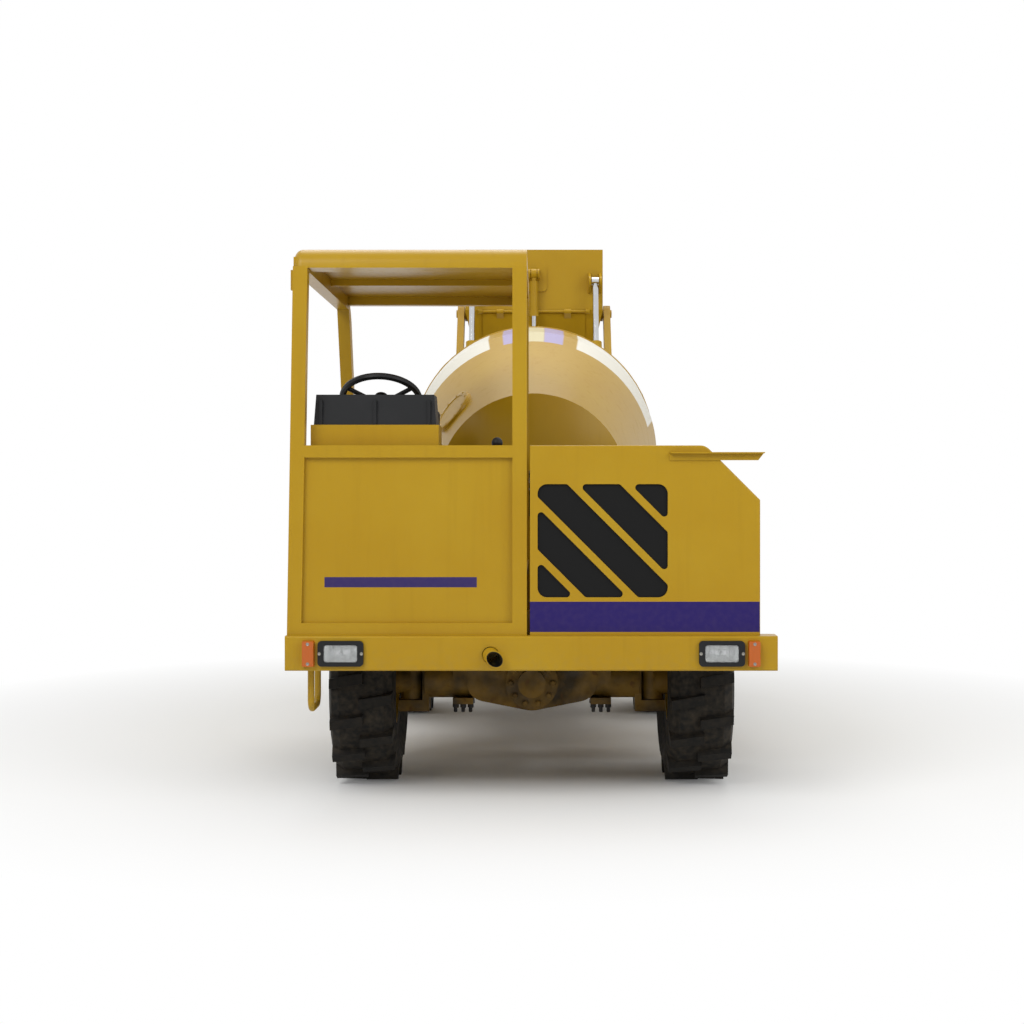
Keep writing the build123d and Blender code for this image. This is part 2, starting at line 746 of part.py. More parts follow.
with BuildPart() as fuel_tank:
    box(stand_left_x + 76, -tank_inner_x, y_bumper + 1540, y_bumper + 2280, 620, floor_z - floor_plate)
    fillet(fuel_tank.edges().filter_by(Axis.Y).group_by(Axis.Z)[0], 60)
    rod_across(stand_left_x + 40, stand_left_x + 80, (y_bumper + 2120, 900.0), filler_radius * 0.6)
    for y in (y_bumper + 1600, y_bumper + 2120):
        box(-tank_inner_x - 30, -rail_outer_x, y, y + 80, rail_z + 30, rail_z + 30 + bearer_height)
keep(fuel_tank.part, "fuel_tank")


# Drum with its head, ring, drive and rollers
drum_plane = Plane(
    origin=(0, drum_head_y, drum_head_z),
    x_dir=(1, 0, 0),
    z_dir=(0, cos(radians(drum_tilt)), sin(radians(drum_tilt))),
)
drum_profile_plane = Plane(origin=drum_plane.origin, x_dir=drum_plane.z_dir, z_dir=(1, 0, 0))
drum_axis = Axis(drum_plane.origin, drum_plane.z_dir)
belly_start = drum_rear_cone
belly_end = belly_start + drum_belly
mouth_start = belly_end + drum_front_cone
mouth_end = mouth_start + drum_collar


def drum_point(distance, radius=0.0):
    """Side-view point at a distance along the drum's axis and a radius below it."""
    turn = radians(drum_tilt)
    return (
        drum_head_y + distance * cos(turn) + radius * sin(turn),
        drum_head_z + distance * sin(turn) - radius * cos(turn),
    )


def cone_radius(distance):
    return drum_radius + (drum_mouth_radius - drum_radius) * (distance - belly_end) / drum_front_cone


def drum_half(inset, end):
    """Half section of the drum from its axis out, drawn in by inset."""
    head = -drum_dome - drum_wall + inset
    rim = drum_head_radius - inset
    with BuildSketch(drum_profile_plane) as half:
        with BuildLine():
            ThreePointArc((head, 0), (head * 0.72, rim * 0.55), (0, rim))
            Polyline(
                (0, rim),
                (belly_start, drum_radius - inset),
                (belly_end, drum_radius - inset),
                (mouth_start, drum_mouth_radius - inset),
                (end, drum_mouth_radius - inset),
                (end, 0),
                (head, 0),
            )
        make_face()
    return half.sketch


with BuildPart() as drum_shell:
    revolve(drum_half(0, mouth_end), axis=drum_axis)
    revolve(drum_half(drum_wall, mouth_end + 1), axis=drum_axis, mode=Mode.SUBTRACT)
    ring_inner = cone_radius(track_ring_at + track_ring_width) - 5
    ring_outer = cone_radius(track_ring_at) + track_ring_height
    with BuildSketch(drum_profile_plane):
        with BuildLine():
            Polyline(
                (track_ring_at, cone_radius(track_ring_at) - 6),
                (track_ring_at, ring_outer),
                (track_ring_at + track_ring_width, ring_outer),
                (track_ring_at + track_ring_width, ring_inner),
                close=True,
            )
        make_face()
    revolve(axis=drum_axis)
keep(drum_shell.part, "drum_shell")

drive_length = 300.0
drive_start = -drum_dome - drum_wall
with BuildPart() as drum_drive:
    with BuildSketch(drum_plane.offset(drive_start - running_gap)):
        Circle(120)
    extrude(amount=-90)
    with BuildSketch(drum_plane.offset(drive_start - 90)):
        Circle(95)
    extrude(amount=-150)
    with BuildSketch(drum_plane.offset(drive_start - 240)):
        Rectangle(110, 130)
    extrude(amount=-(drive_length - 240))
keep(drum_drive.part, "drum_drive")

pedestal_at = drum_point(drive_start - 160)
with BuildPart() as drum_pedestal:
    # plate bracket that holds the drive's waist, on the cross-member below
    with BuildSketch(Plane.XZ.offset(-(pedestal_at[0] - 40))):
        with BuildLine():
            Polyline((-290, deck_z), (290, deck_z), (150, pedestal_at[1] + 60), (-150, pedestal_at[1] + 60), close=True)
        make_face()
    extrude(amount=-80)
    with BuildSketch(drum_plane.offset(drive_start - 300)):
        Circle(95 + running_gap)
    extrude(amount=300, mode=Mode.SUBTRACT)
keep(drum_pedestal.part, "drum_pedestal")

roller_radius, roller_width, roller_angle = 80.0, 90.0, 38.0
roller_pin_radius = 22.0
roller_reach = ring_outer + roller_radius + running_gap
roller_at = track_ring_at + track_ring_width / 2
roller_pins = []
for side in (-1, 1):
    across, down = roller_reach * sin(radians(roller_angle)), roller_reach * cos(radians(roller_angle))
    roller_pins.append(drum_plane.from_local_coords(Vector(side * across, down, roller_at)))

with BuildPart() as drum_rollers:
    for pin in roller_pins:
        with BuildSketch(Plane(origin=pin, x_dir=(1, 0, 0), z_dir=drum_plane.z_dir).offset(-roller_width / 2)):
            Circle(roller_radius)
            Circle(roller_pin_radius + running_gap, mode=Mode.SUBTRACT)
        extrude(amount=roller_width)
keep(drum_rollers.part, "drum_rollers")

yoke_plate = 20.0
yoke_gap = roller_width / 2 + 5
with BuildPart() as drum_yoke:
    pin_drop = Vector(0, roller_pins[0].Y, roller_pins[0].Z)
    for start in (-yoke_gap - yoke_plate, yoke_gap):
        with BuildSketch(Plane(origin=(0, pin_drop.Y, pin_drop.Z), x_dir=(1, 0, 0), z_dir=drum_plane.z_dir).offset(start)) as cheek:
            foot = pin_drop.Z - deck_z + 60
            with BuildLine():
                Polyline(
                    (-rail_outer_x, foot),
                    (rail_outer_x, foot),
                    (rail_outer_x, foot - 260),
                    (roller_pins[1].X + 45, 30),
                    (roller_pins[1].X + 30, -45),
                    (roller_pins[1].X - 45, -45),
                    (0, 150),
                    (-roller_pins[1].X + 45, -45),
                    (-roller_pins[1].X - 30, -45),
                    (-roller_pins[1].X - 45, 30),
                    (-rail_outer_x, foot - 260),
                    close=True,
                )
            make_face()
        extrude(amount=yoke_plate)
    for pin in roller_pins:
        with BuildSketch(Plane(origin=pin, x_dir=(1, 0, 0), z_dir=drum_plane.z_dir).offset(-yoke_gap - yoke_plate)):
            Circle(roller_pin_radius)
        extrude(amount=2 * (yoke_gap + yoke_plate))
    # a web joins the two cheeks, and both end on the rails
    web_z = deck_z + 60
    box(-rail_outer_x + 40, rail_outer_x - 40, pin_drop.Y - yoke_gap, pin_drop.Y + yoke_gap, deck_z, web_z)
    split(bisect_by=Plane.XY.offset(deck_z), keep=Keep.TOP)
keep(drum_yoke.part, "drum_yoke")


# Feed hopper and chute at the drum's mouth
mouth_front = drum_point(mouth_end)
hopper_half_width, hopper_foot_half_width = 390.0, 250.0
hopper_top_z, hopper_low_z = 2330.0, 1990.0
hopper_rear_y, hopper_front_y = mouth_front[0] + 20, rail_front_y + 170
hopper_wall = 8.0
with BuildPart() as feed_hopper:
    # funnel: four sloping walls above the mouth, open at the top and at the foot, on two brackets
    for side in (-1, 1):
        low, high = sorted((side * (hopper_foot_half_width - 40), side * rail_outer_x))
        box(low, high, rail_front_y - post_width, rail_front_y, post_z, post_z + 40)
    for inset, mode in ((0.0, Mode.ADD), (hopper_wall, Mode.SUBTRACT)):
        reach = 0.0 if mode == Mode.ADD else 1.0
        with BuildSketch(Plane.XY.offset(hopper_top_z + reach)):
            with Locations((0, (hopper_rear_y + hopper_front_y) / 2)):
                Rectangle(2 * (hopper_half_width - inset), hopper_front_y - hopper_rear_y - 2 * inset)
        with BuildSketch(Plane.XY.offset(hopper_low_z - reach)):
            with Locations((0, (hopper_rear_y + hopper_front_y) / 2 - 30)):
                Rectangle(2 * (hopper_foot_half_width - inset), hopper_front_y - hopper_rear_y - 100 - 2 * inset)
        loft(mode=mode)
keep(feed_hopper.part, "feed_hopper")

chute_pivot = (rail_front_y - post_width / 2, 1180.0)
chute_radius, chute_wall, chute_slope = 165.0, 8.0, 24.0
chute_length, chute_tail = 600.0, 45.0
chute_dir = (0, cos(radians(chute_slope)), -sin(radians(chute_slope)))
chute_pin_radius = 30.0
chute_bed_z = chute_pivot[1] + 260.0
with BuildPart() as chute_bracket:
    box(
        -rail_outer_x + post_width,
        rail_outer_x - post_width,
        chute_pivot[0] - 30,
        chute_pivot[0] + 30,
        chute_pivot[1] - 60,
        chute_pivot[1],
    )
    with BuildSketch(Plane.XY.offset(chute_pivot[1])):
        with Locations((0, chute_pivot[0])):
            Circle(chute_pin_radius)
    extrude(amount=70)
keep(chute_bracket.part, "chute_bracket")

with BuildPart() as discharge_chute:
    trough_plane = Plane(origin=(0, chute_pivot[0], chute_bed_z), x_dir=(1, 0, 0), z_dir=chute_dir)
    with BuildSketch(trough_plane.offset(-chute_tail)):
        Circle(chute_radius)
        Circle(chute_radius - chute_wall, mode=Mode.SUBTRACT)
        with Locations((0, -chute_radius)):
            Rectangle(3 * chute_radius, 2 * chute_radius, mode=Mode.SUBTRACT)
    extrude(amount=chute_tail + chute_length)
    # swivel post under the trough
    with BuildSketch(Plane.XY.offset(chute_pivot[1] + running_gap)):
        with Locations((0, chute_pivot[0])):
            Circle(chute_pin_radius + 18)
    extrude(amount=chute_bed_z - chute_radius - chute_pivot[1] + 10)
    with BuildSketch(Plane.XY.offset(chute_pivot[1])):
        with Locations((0, chute_pivot[0])):
            Circle(chute_pin_radius + running_gap)
    extrude(amount=75, mode=Mode.SUBTRACT)
keep(discharge_chute.part, "discharge_chute")


# Loader arms: two bent plates on one torsion tube
arm_end_radius, arm_mid_radius, arm_root_radius = 62.0, 88.0, 82.0
arm_bend = 40.0
arm_mid = between(arm_pivot, shovel_pivot, along(arm_pivot, shovel_pivot) * 0.5, arm_bend)

with BuildPart() as loader_arms:
    for side in (-1, 1):
        low_x = arm_inner_x if side > 0 else -arm_inner_x - arm_thickness
        for first, first_radius, second, second_radius in (
            (arm_pivot, arm_root_radius, arm_mid, arm_mid_radius),
            (arm_mid, arm_mid_radius, shovel_pivot, arm_end_radius),
        ):
            with BuildSketch(cross_plane(low_x, (0, 0))):
                with Locations(first):
                    Circle(first_radius)
                with Locations(second):
                    Circle(second_radius)
                make_hull()
            extrude(amount=arm_thickness)
        with BuildSketch(cross_plane(low_x, (0, 0))):
            with Locations(tilt_base):
                Circle(48)
            with Locations(between(shovel_pivot, arm_pivot, tilt_on_arm)):
                Circle(80)
            make_hull()
        extrude(amount=arm_thickness)
        eye_near = side * (ram_x - ram_eye_width / 2)
        low, high = sorted((eye_near, side * (arm_inner_x + 10)))
        rod_across(low, high, tilt_base, pin_radius)
        low, high = sorted((side * (ram_x + ram_eye_width / 2 + side_gap), side * (arm_inner_x + 10)))
        rod_across(low, high, lift_tip, pin_radius + 14)
        low, high = sorted((side * (arm_inner_x - 1), side * (arm_inner_x + arm_thickness + 1)))
        rod_across(low, high, shovel_pivot, shovel_pin_radius + running_gap, mode=Mode.SUBTRACT)
    tube_end = tower_outer_x + tower_plate
    rod_across(-tube_end, tube_end, arm_pivot, arm_tube_radius)
keep(loader_arms.part, "loader_arms")


# Shovel: folded back and floor between tapered cheeks, open at the top and front
shovel_section = [
    (hatch_hinge[0], shovel_top_z),
    hatch_hinge,
    shovel_heel,
    shovel_lip,
    shovel_top_front,
]
inner_section = [
    (hatch_hinge[0] + shovel_wall, shovel_top_z + 1),
    (hatch_hinge[0] + shovel_wall, hatch_hinge[1] + 3),
    (shovel_heel[0] + 7, shovel_heel[1] + shovel_wall),
    (shovel_lip[0] + 200, shovel_lip[1] + shovel_wall - 8),
    (shovel_lip[0] + 200, shovel_top_z + 1),
]


def shovel_front(inset):
    """Front view of the shovel: upright cheeks above the fold, tapered ones below it."""
    wide, narrow = shovel_half_width - inset, shovel_heel_half_width - inset
    with BuildSketch(Plane.XZ.offset(-(hatch_hinge[0] - 10))) as front:
        with BuildLine():
            Polyline(
                (-narrow, shovel_lip[1] - 20),
                (narrow, shovel_lip[1] - 20),
                (wide, hatch_hinge[1]),
                (wide, shovel_top_z + 2),
                (-wide, shovel_top_z + 2),
                (-wide, hatch_hinge[1]),
                close=True,
            )
        make_face()
    extrude(front.sketch, amount=-(shovel_lip[0] - hatch_hinge[0] + 400), mode=Mode.INTERSECT)


with BuildPart() as shovel_inside:
    side_plate(-shovel_half_width, shovel_half_width, inner_section)
    shovel_front(shovel_wall)

hatch_slope = (shovel_heel[0] - hatch_hinge[0], shovel_heel[1] - hatch_hinge[1])
hatch_length = along(hatch_hinge, shovel_heel)
hatch_plane = Plane(
    origin=(0, hatch_hinge[0], hatch_hinge[1]),
    x_dir=(1, 0, 0),
    z_dir=(0, hatch_slope[1], -hatch_slope[0]),
)
hatch_top_gap, hatch_foot_gap = 46.0, 40.0
hatch_pin = (hatch_hinge[0] - 22, hatch_hinge[1] - 14)
hatch_knuckle, hatch_pin_radius = 18.0, 9.0
lug_plate = 16.0

with BuildPart() as shovel:
    side_plate(-shovel_half_width, shovel_half_width, shovel_section)
    shovel_front(0)
    add(shovel_inside.part, mode=Mode.SUBTRACT)
    # outlet behind the hatch, through the sloping back
    outlet_half_width = hatch_half_width - 40
    with BuildSketch(hatch_plane.offset(40)):
        with Locations((0, hatch_plane.to_local_coords(Vector(0, shovel_heel[0], shovel_heel[1])).Y / 2)):
            Rectangle(2 * outlet_half_width, hatch_length - hatch_top_gap - hatch_foot_gap - 40)
    extrude(amount=-80, mode=Mode.SUBTRACT)
    for side in (-1, 1):
        # pivot pin boss on each cheek, standing through the arm's eye
        low, high = sorted((side * (shovel_half_width - shovel_wall - 2), side * (arm_inner_x - 4)))
        rod_across(low, high, shovel_pivot, 55)
        low, high = sorted((side * (arm_inner_x - 6), side * (arm_inner_x + arm_thickness + 12)))
        rod_across(low, high, shovel_pivot, shovel_pin_radius)
        # ears of the tilt rod
        for face in (-1, 1):
            ear = ram_x + face * (ram_eye_width / 2 + side_gap)
            low, high = sorted((side * ear, side * (ear + face * lug_plate)))
            with BuildSketch(cross_plane(low, (0, 0))):
                with Locations(tilt_tip):
                    Circle(38)
                with Locations((hatch_hinge[0] - 5, tilt_tip[1] + 70), (hatch_hinge[0] - 5, tilt_tip[1] - 70)):
                    Circle(6)
                make_hull()
            extrude(amount=high - low)
    # doubler plate and ears of the hatch cylinder
    with BuildSketch(Plane.XZ.offset(-hatch_hinge[0])):
        with Locations((0, hatch_cylinder_head[1] - 20)):
            RectangleRounded(190, 205, 30)
    extrude(amount=14)
    for face in (-1, 1):
        ear = face * 26.0
        low, high = sorted((ear, ear + face * 14))
        with BuildSketch(cross_plane(low, (0, 0))):
            with Locations(hatch_cylinder_head):
                Circle(34)
            with Locations((hatch_hinge[0] - 8, hatch_cylinder_head[1] + 40), (hatch_hinge[0] - 8, hatch_cylinder_head[1] - 40)):
                Circle(6)
            make_hull()
        extrude(amount=high - low)
    rod_across(-40, 40, hatch_cylinder_head, 15)
    # hinge knuckles of the hatch
    for side in (-1, 1):
        low, high = sorted((side * (hatch_half_width + 3), side * (hatch_half_width + 33)))
        with BuildSketch(cross_plane(low, (0, 0))):
            with Locations(hatch_pin):
                Circle(hatch_knuckle)
            with Locations((hatch_hinge[0] + 4, hatch_hinge[1] - 2)):
                Circle(8)
            make_hull()
        extrude(amount=high - low)
    rod_across(-hatch_half_width - 20, hatch_half_width + 20, hatch_pin, hatch_pin_radius)
keep(shovel.part, "shovel")

hatch_plate = 10.0
hatch_clear = 2.0
hatch_lever = between(hatch_hinge, shovel_heel, 200.0, -175.0)
with BuildPart() as shovel_hatch:
    with BuildSketch(hatch_plane.offset(hatch_clear)):
        foot = hatch_plane.to_local_coords(Vector(0, shovel_heel[0], shovel_heel[1])).Y
        with Locations((0, foot / 2)):
            Rectangle(2 * hatch_half_width, hatch_length - 60)
    extrude(amount=hatch_plate)
    for x in (-250.0, 250.0):
        with BuildSketch(cross_plane(x - 25, (0, 0))):
            with Locations(hatch_pin):
                Circle(hatch_knuckle)
            with Locations(between(hatch_hinge, shovel_heel, 60, -hatch_clear - 6)):
                Circle(6)
            make_hull()
        extrude(amount=50)
    rod_across(-hatch_half_width - 30, hatch_half_width + 30, hatch_pin, hatch_pin_radius + running_gap, mode=Mode.SUBTRACT)
    for face in (-1, 1):
        low, high = sorted((face * 26.0, face * 40.0))
        with BuildSketch(cross_plane(low, (0, 0))):
            with Locations(hatch_lever):
                Circle(26)
            with Locations(between(hatch_hinge, shovel_heel, 120, -hatch_clear - 7), between(hatch_hinge, shovel_heel, 290, -hatch_clear - 7)):
                Circle(6)
            make_hull()
        extrude(amount=high - low)
keep(shovel_hatch.part, "shovel_hatch")


# Hydraulic cylinders: barrel on its base pin, rod out of the barrel's gland
def ram_barrel(xs, base, tip, bore_radius, length, eye_width, pin):
    for x in xs:
        neck = 3.6 * pin
        with BuildSketch(ram_plane(x, base, tip)) as shank:
            Circle(eye_width * 0.42)
        extrude(shank.sketch, amount=neck)
        with BuildSketch(ram_plane(x, base, tip).offset(neck)) as tube:
            Circle(bore_radius)
        extrude(tube.sketch, amount=length - neck)
        with BuildSketch(ram_plane(x, base, tip).offset(length - 45)) as gland:
            Circle(bore_radius + 7)
        extrude(gland.sketch, amount=45)
        rod_across(x - eye_width / 2, x + eye_width / 2, base, pin + 20)
        with BuildSketch(ram_plane(x, base, tip).offset(neck + 6)) as hollow:
            Circle(bore_radius * 0.6)
        extrude(hollow.sketch, amount=length - neck, mode=Mode.SUBTRACT)
        rod_across(x - eye_width, x + eye_width, base, pin + running_gap, mode=Mode.SUBTRACT)


def ram_rod(xs, base, tip, rod_radius, inside, eye_width, eye_radius):
    reach = along(base, tip)
    for x in xs:
        with BuildSketch(ram_plane(x, base, tip).offset(inside)) as bar:
            Circle(rod_radius)
        extrude(bar.sketch, amount=reach - inside)
        rod_across(x - eye_width / 2, x + eye_width / 2, tip, eye_radius)


both_sides = (-ram_x, ram_x)
lift_bore, lift_length = 44.0, 560.0
with BuildPart() as lift_barrels:
    ram_barrel(both_sides, lift_base, lift_tip, lift_bore, lift_length, ram_eye_width, pin_radius)
keep(lift_barrels.part, "lift_barrels")
with BuildPart() as lift_rods:
    ram_rod(both_sides, lift_base, lift_tip, lift_bore * 0.6 - running_gap, lift_length - 80, ram_eye_width, 38)
keep(lift_rods.part, "lift_rods")

tilt_bore, tilt_length = 36.0, 635.0
with BuildPart() as tilt_barrels:
    ram_barrel(both_sides, tilt_base, tilt_tip, tilt_bore, tilt_length, ram_eye_width, pin_radius)
keep(tilt_barrels.part, "tilt_barrels")
with BuildPart() as tilt_rods:
    ram_rod(both_sides, tilt_base, tilt_tip, tilt_bore * 0.6 - running_gap, tilt_length - 115, ram_eye_width, 32)
keep(tilt_rods.part, "tilt_rods")

hatch_bore, hatch_ram_length = 28.0, 310.0
with BuildPart() as hatch_barrel:
    ram_barrel((0.0,), hatch_cylinder_head, hatch_lever, hatch_bore, hatch_ram_length, 40.0, 15.0)
keep(hatch_barrel.part, "hatch_barrel")
with BuildPart() as hatch_rod:
    ram_rod((0.0,), hatch_cylinder_head, hatch_lever, hatch_bore * 0.6 - running_gap, hatch_ram_length - 60, 40.0, 24)
keep(hatch_rod.part, "hatch_rod")


# Axles: banjo casting, differential with its round cover, clamp pads and kingpin yokes
yoke_reach = 70.0
diff_radius, diff_half_depth = 142.0, 150.0
banjo_x, banjo_radius, banjo_half_depth = 225.0, 98.0, 95.0
cover_boss_radius, cover_boss_depth = 68.0, 45.0
pad_x, pad_half_length, clamp_plate = 345.0, 90.0, 22.0
knuckle_gap = 3.0


def axle(y, cover_side):
    rod_across(-kingpin_x + yoke_reach, kingpin_x - yoke_reach, (y, axle_z), axle_tube_radius)
    with BuildSketch(Plane.XZ.offset(-(y - banjo_half_depth))) as banjo:
        with Locations((-banjo_x, axle_z), (banjo_x, axle_z)):
            Circle(banjo_radius)
        with Locations((0, axle_z)):
            Circle(diff_radius)
        make_hull()
    extrude(banjo.sketch, amount=-2 * banjo_half_depth)
    with BuildSketch(Plane.XZ.offset(-(y - diff_half_depth))) as housing:
        with Locations((0, axle_z)):
            Circle(diff_radius - 14)
    extrude(housing.sketch, amount=-2 * diff_half_depth)
    with BuildSketch(Plane.XZ.offset(-(y + cover_side * diff_half_depth))) as cover:
        with Locations((0, axle_z)):
            Circle(cover_boss_radius)
    extrude(cover.sketch, amount=-cover_side * cover_boss_depth)
    for side in (-1, 1):
        low, high = sorted((side * (pad_x - 55), side * (pad_x + 45)))
        box(low, high, y - pad_half_length, y + pad_half_length, axle_z, rail_z)
        under = axle_z - axle_tube_radius
        box(low, high, y - pad_half_length - 10, y + pad_half_length + 10, under - clamp_plate, under + 8)
        low, high = sorted((side * (kingpin_x - yoke_reach - 20), side * (kingpin_x + kingpin_radius + 26)))
        inner_z = kingpin_half_height - 55
        box(low, high, y - 60, y + 60, axle_z - kingpin_half_height, axle_z + kingpin_half_height)
        cut_low, cut_high = sorted((side * (kingpin_x - yoke_reach + 12), side * (kingpin_x + 200)))
        box(cut_low, cut_high, y - 70, y + 70, axle_z - inner_z, axle_z + inner_z, mode=Mode.SUBTRACT)
        with BuildSketch(Plane.XY.offset(axle_z - kingpin_half_height)) as kingpin:
            with Locations((side * kingpin_x, y)):
                Circle(kingpin_radius)
        extrude(kingpin.sketch, amount=2 * kingpin_half_height)


for name, y, cover_side in (("hood_axle", y_hood_axle, -1), ("loader_axle", y_loader_axle, 1)):
    with BuildPart() as axle_part:
        axle(y, cover_side)
    keep(axle_part.part, name)


# Drive line: transfer case slung under the rails, with a shaft to each axle
case_y, case_half_length, case_half_width, case_low_z = y_bumper + 2040.0, 85.0, 125.0, 395.0
bearer_thickness = 40.0
shaft_radius, flange_radius, flange_width = 42.0, 75.0, 24.0
with BuildPart() as drive_line:
    box(-rail_outer_x, rail_outer_x, case_y - 40, case_y + 40, rail_z - bearer_thickness, rail_z)
    box(-case_half_width, case_half_width, case_y - case_half_length, case_y + case_half_length,
        case_low_z, rail_z - bearer_thickness)
    for start_y, end_y in (
        (y_hood_axle + diff_half_depth + running_gap, case_y - case_half_length),
        (case_y + case_half_length, y_loader_axle - diff_half_depth - running_gap),
    ):
        with BuildSketch(Plane.XZ.offset(-start_y)):
            with Locations((0, axle_z)):
                Circle(shaft_radius)
        extrude(amount=start_y - end_y)
        with BuildSketch(Plane.XZ.offset(-start_y), Plane.XZ.offset(flange_width - end_y)):
            with Locations((0, axle_z)):
                Circle(flange_radius)
        extrude(amount=-flange_width)
keep(drive_line.part, "drive_line")


# Knuckles and wheels, one set for each corner
spindle_radius = 70.0
hub_inner_x = wheel_x - 95.0
knuckle_half_height = kingpin_half_height - 55 - knuckle_gap
hub_radius = 118.0
rim_wall = 12.0
tyre_sections = [  # share of half the width from the tyre's middle plane, radius
    (-0.80, 300.0),
    (-1.0, 385.0),
    (-0.90, 434.0),
    (-0.66, tread_radius),
    (0.66, tread_radius),
    (0.90, 434.0),
    (1.0, 385.0),
    (0.80, 300.0),
]
lug_outline = [(-14.0, -40.0), (151.0, -12.0), (151.0, 42.0), (-14.0, 18.0)]  # across the tyre, along its tread
lug_draft = 3.0
disc_section = [  # dished wheel disc: distance outwards from the tyre's middle plane, radius
    (-14.0, rim_radius - rim_wall + 1),
    (2.0, rim_radius - rim_wall + 1),
    (52.0, 158.0),
    (52.0, hub_radius - 4),
    (38.0, hub_radius - 4),
    (38.0, 152.0),
]
hub_cap_reach = 112.0  # planetary hub's outer face from the tyre's middle plane

corners = [
    (f"{end}_{side_name}", y, side)
    for end, y in (("hood", y_hood_axle), ("loader", y_loader_axle))
    for side_name, side in (("left", -1), ("right", 1))
]
for name, y, side in corners:
    wheel_plane = Plane(origin=(side * wheel_x, y, axle_z), x_dir=(0, 1, 0), z_dir=(side, 0, 0))
    with BuildPart() as knuckle:
        with BuildSketch(Plane.XY.offset(axle_z - knuckle_half_height)):
            with Locations((side * kingpin_x, y)):
                Circle(kingpin_radius + 20)
        extrude(amount=2 * knuckle_half_height)
        low, high = sorted((side * kingpin_x, side * hub_inner_x))
        rod_across(low, high, (y, axle_z), spindle_radius)
        with BuildSketch(Plane.XY.offset(axle_z - 200)):
            with Locations((side * kingpin_x, y)):
                Circle(kingpin_radius + running_gap)
        extrude(amount=400, mode=Mode.SUBTRACT)
    keep(knuckle.part, f"{name}_knuckle")

    with BuildPart() as rim:
        with BuildSketch(wheel_plane.offset(-rim_width / 2)):
            Circle(rim_radius)
            Circle(rim_radius - rim_wall, mode=Mode.SUBTRACT)
        extrude(amount=rim_width)
        with BuildSketch(Plane(origin=wheel_plane.origin, x_dir=wheel_plane.z_dir, z_dir=wheel_plane.x_dir)):
            with BuildLine():
                Polyline(*disc_section, close=True)
            make_face()
        revolve(axis=Axis(wheel_plane.origin, wheel_plane.z_dir))
        with BuildSketch(wheel_plane.offset(hub_inner_x - wheel_x + running_gap)):
            Circle(hub_radius)
        extrude(amount=wheel_x - hub_inner_x + hub_cap_reach - 30)
        with BuildSketch(wheel_plane.offset(hub_cap_reach - 30)):
            Circle(hub_radius - 14)
        extrude(amount=30, taper=20)
    keep(rim.part, f"{name}_rim")

    with BuildPart() as tyre:
        half = tyre_width / 2
        for share, radius in tyre_sections:
            with BuildSketch(wheel_plane.offset(share * half)):
                RegularPolygon(radius, tyre_facets)
        loft(ruled=True)
        # two staggered rows of lugs, each lug within one facet, with one lug straight below the axle
        for hand, first in ((1, 0.0), (-1, 180.0 / lug_count)):
            lug_planes = []
            for index in range(lug_count):
                angle = radians(first - 90.0 * side + 360.0 / lug_count * index)
                outwards = wheel_plane.x_dir * cos(angle) + wheel_plane.y_dir * sin(angle)
                root = wheel_plane.origin + outwards * lug_root_radius
                lug_planes.append(Plane(origin=root, x_dir=wheel_plane.z_dir * hand, z_dir=outwards))
            with BuildSketch(*lug_planes):
                with BuildLine():
                    Polyline(*lug_outline, close=True)
                make_face()
            extrude(amount=tyre_radius - lug_root_radius, taper=lug_draft)
        with BuildSketch(wheel_plane.offset(-half - 1)):
            RegularPolygon(rim_radius + running_gap, tyre_facets, major_radius=False)
        extrude(amount=tyre_width + 2, mode=Mode.SUBTRACT)
    keep(tyre.part, f"{name}_tyre")
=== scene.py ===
import json
import math

import bpy
from mathutils import Matrix, Vector


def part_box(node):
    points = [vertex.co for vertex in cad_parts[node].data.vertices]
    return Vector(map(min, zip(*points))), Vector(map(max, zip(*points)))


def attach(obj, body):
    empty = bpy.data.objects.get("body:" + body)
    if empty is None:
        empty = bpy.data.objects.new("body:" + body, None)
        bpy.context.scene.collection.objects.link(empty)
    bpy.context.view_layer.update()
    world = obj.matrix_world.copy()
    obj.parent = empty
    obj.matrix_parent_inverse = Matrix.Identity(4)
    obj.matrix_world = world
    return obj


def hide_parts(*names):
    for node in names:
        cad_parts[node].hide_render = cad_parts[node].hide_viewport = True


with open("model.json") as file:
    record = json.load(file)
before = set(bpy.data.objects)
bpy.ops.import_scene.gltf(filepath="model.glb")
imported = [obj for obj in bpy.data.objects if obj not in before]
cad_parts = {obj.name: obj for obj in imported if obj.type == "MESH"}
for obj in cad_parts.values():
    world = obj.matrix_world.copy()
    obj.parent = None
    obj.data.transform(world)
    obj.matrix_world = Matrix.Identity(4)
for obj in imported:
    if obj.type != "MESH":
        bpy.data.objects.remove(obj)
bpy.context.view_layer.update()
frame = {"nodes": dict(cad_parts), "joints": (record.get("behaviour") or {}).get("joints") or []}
nodes = frame["nodes"]
print("frame loaded:", len(nodes), "nodes")

# the machine's own landmarks, in metres
place = {
    "bumperY": -2.7625,  # face of the bumper beam
    "panelY": -2.7275,  # face of the hood and the driver's back panel
    "drumHead": Vector((0.0, -0.8125, 1.450)),
    "drumTilt": math.radians(11.0),
    "bellyFrom": 1.060,  # along the drum's axis from its head
    "bellyTo": 1.360,
    "headRadius": 0.535,
    "bellyRadius": 0.778,
    "axleZ": 0.490,
    "corners": ("hood_left", "hood_right", "loader_left", "loader_right"),
}
drumAxis = Vector((0, math.cos(place["drumTilt"]), math.sin(place["drumTilt"])))
drumUp = Vector((0, -math.sin(place["drumTilt"]), math.cos(place["drumTilt"])))
axleY = (-1.9125, 0.5375)


# a wave texture turns 20 radians a metre at scale 1, so bands laid by this step come out 2 pi times wider
# than the size given
waveStep = 20


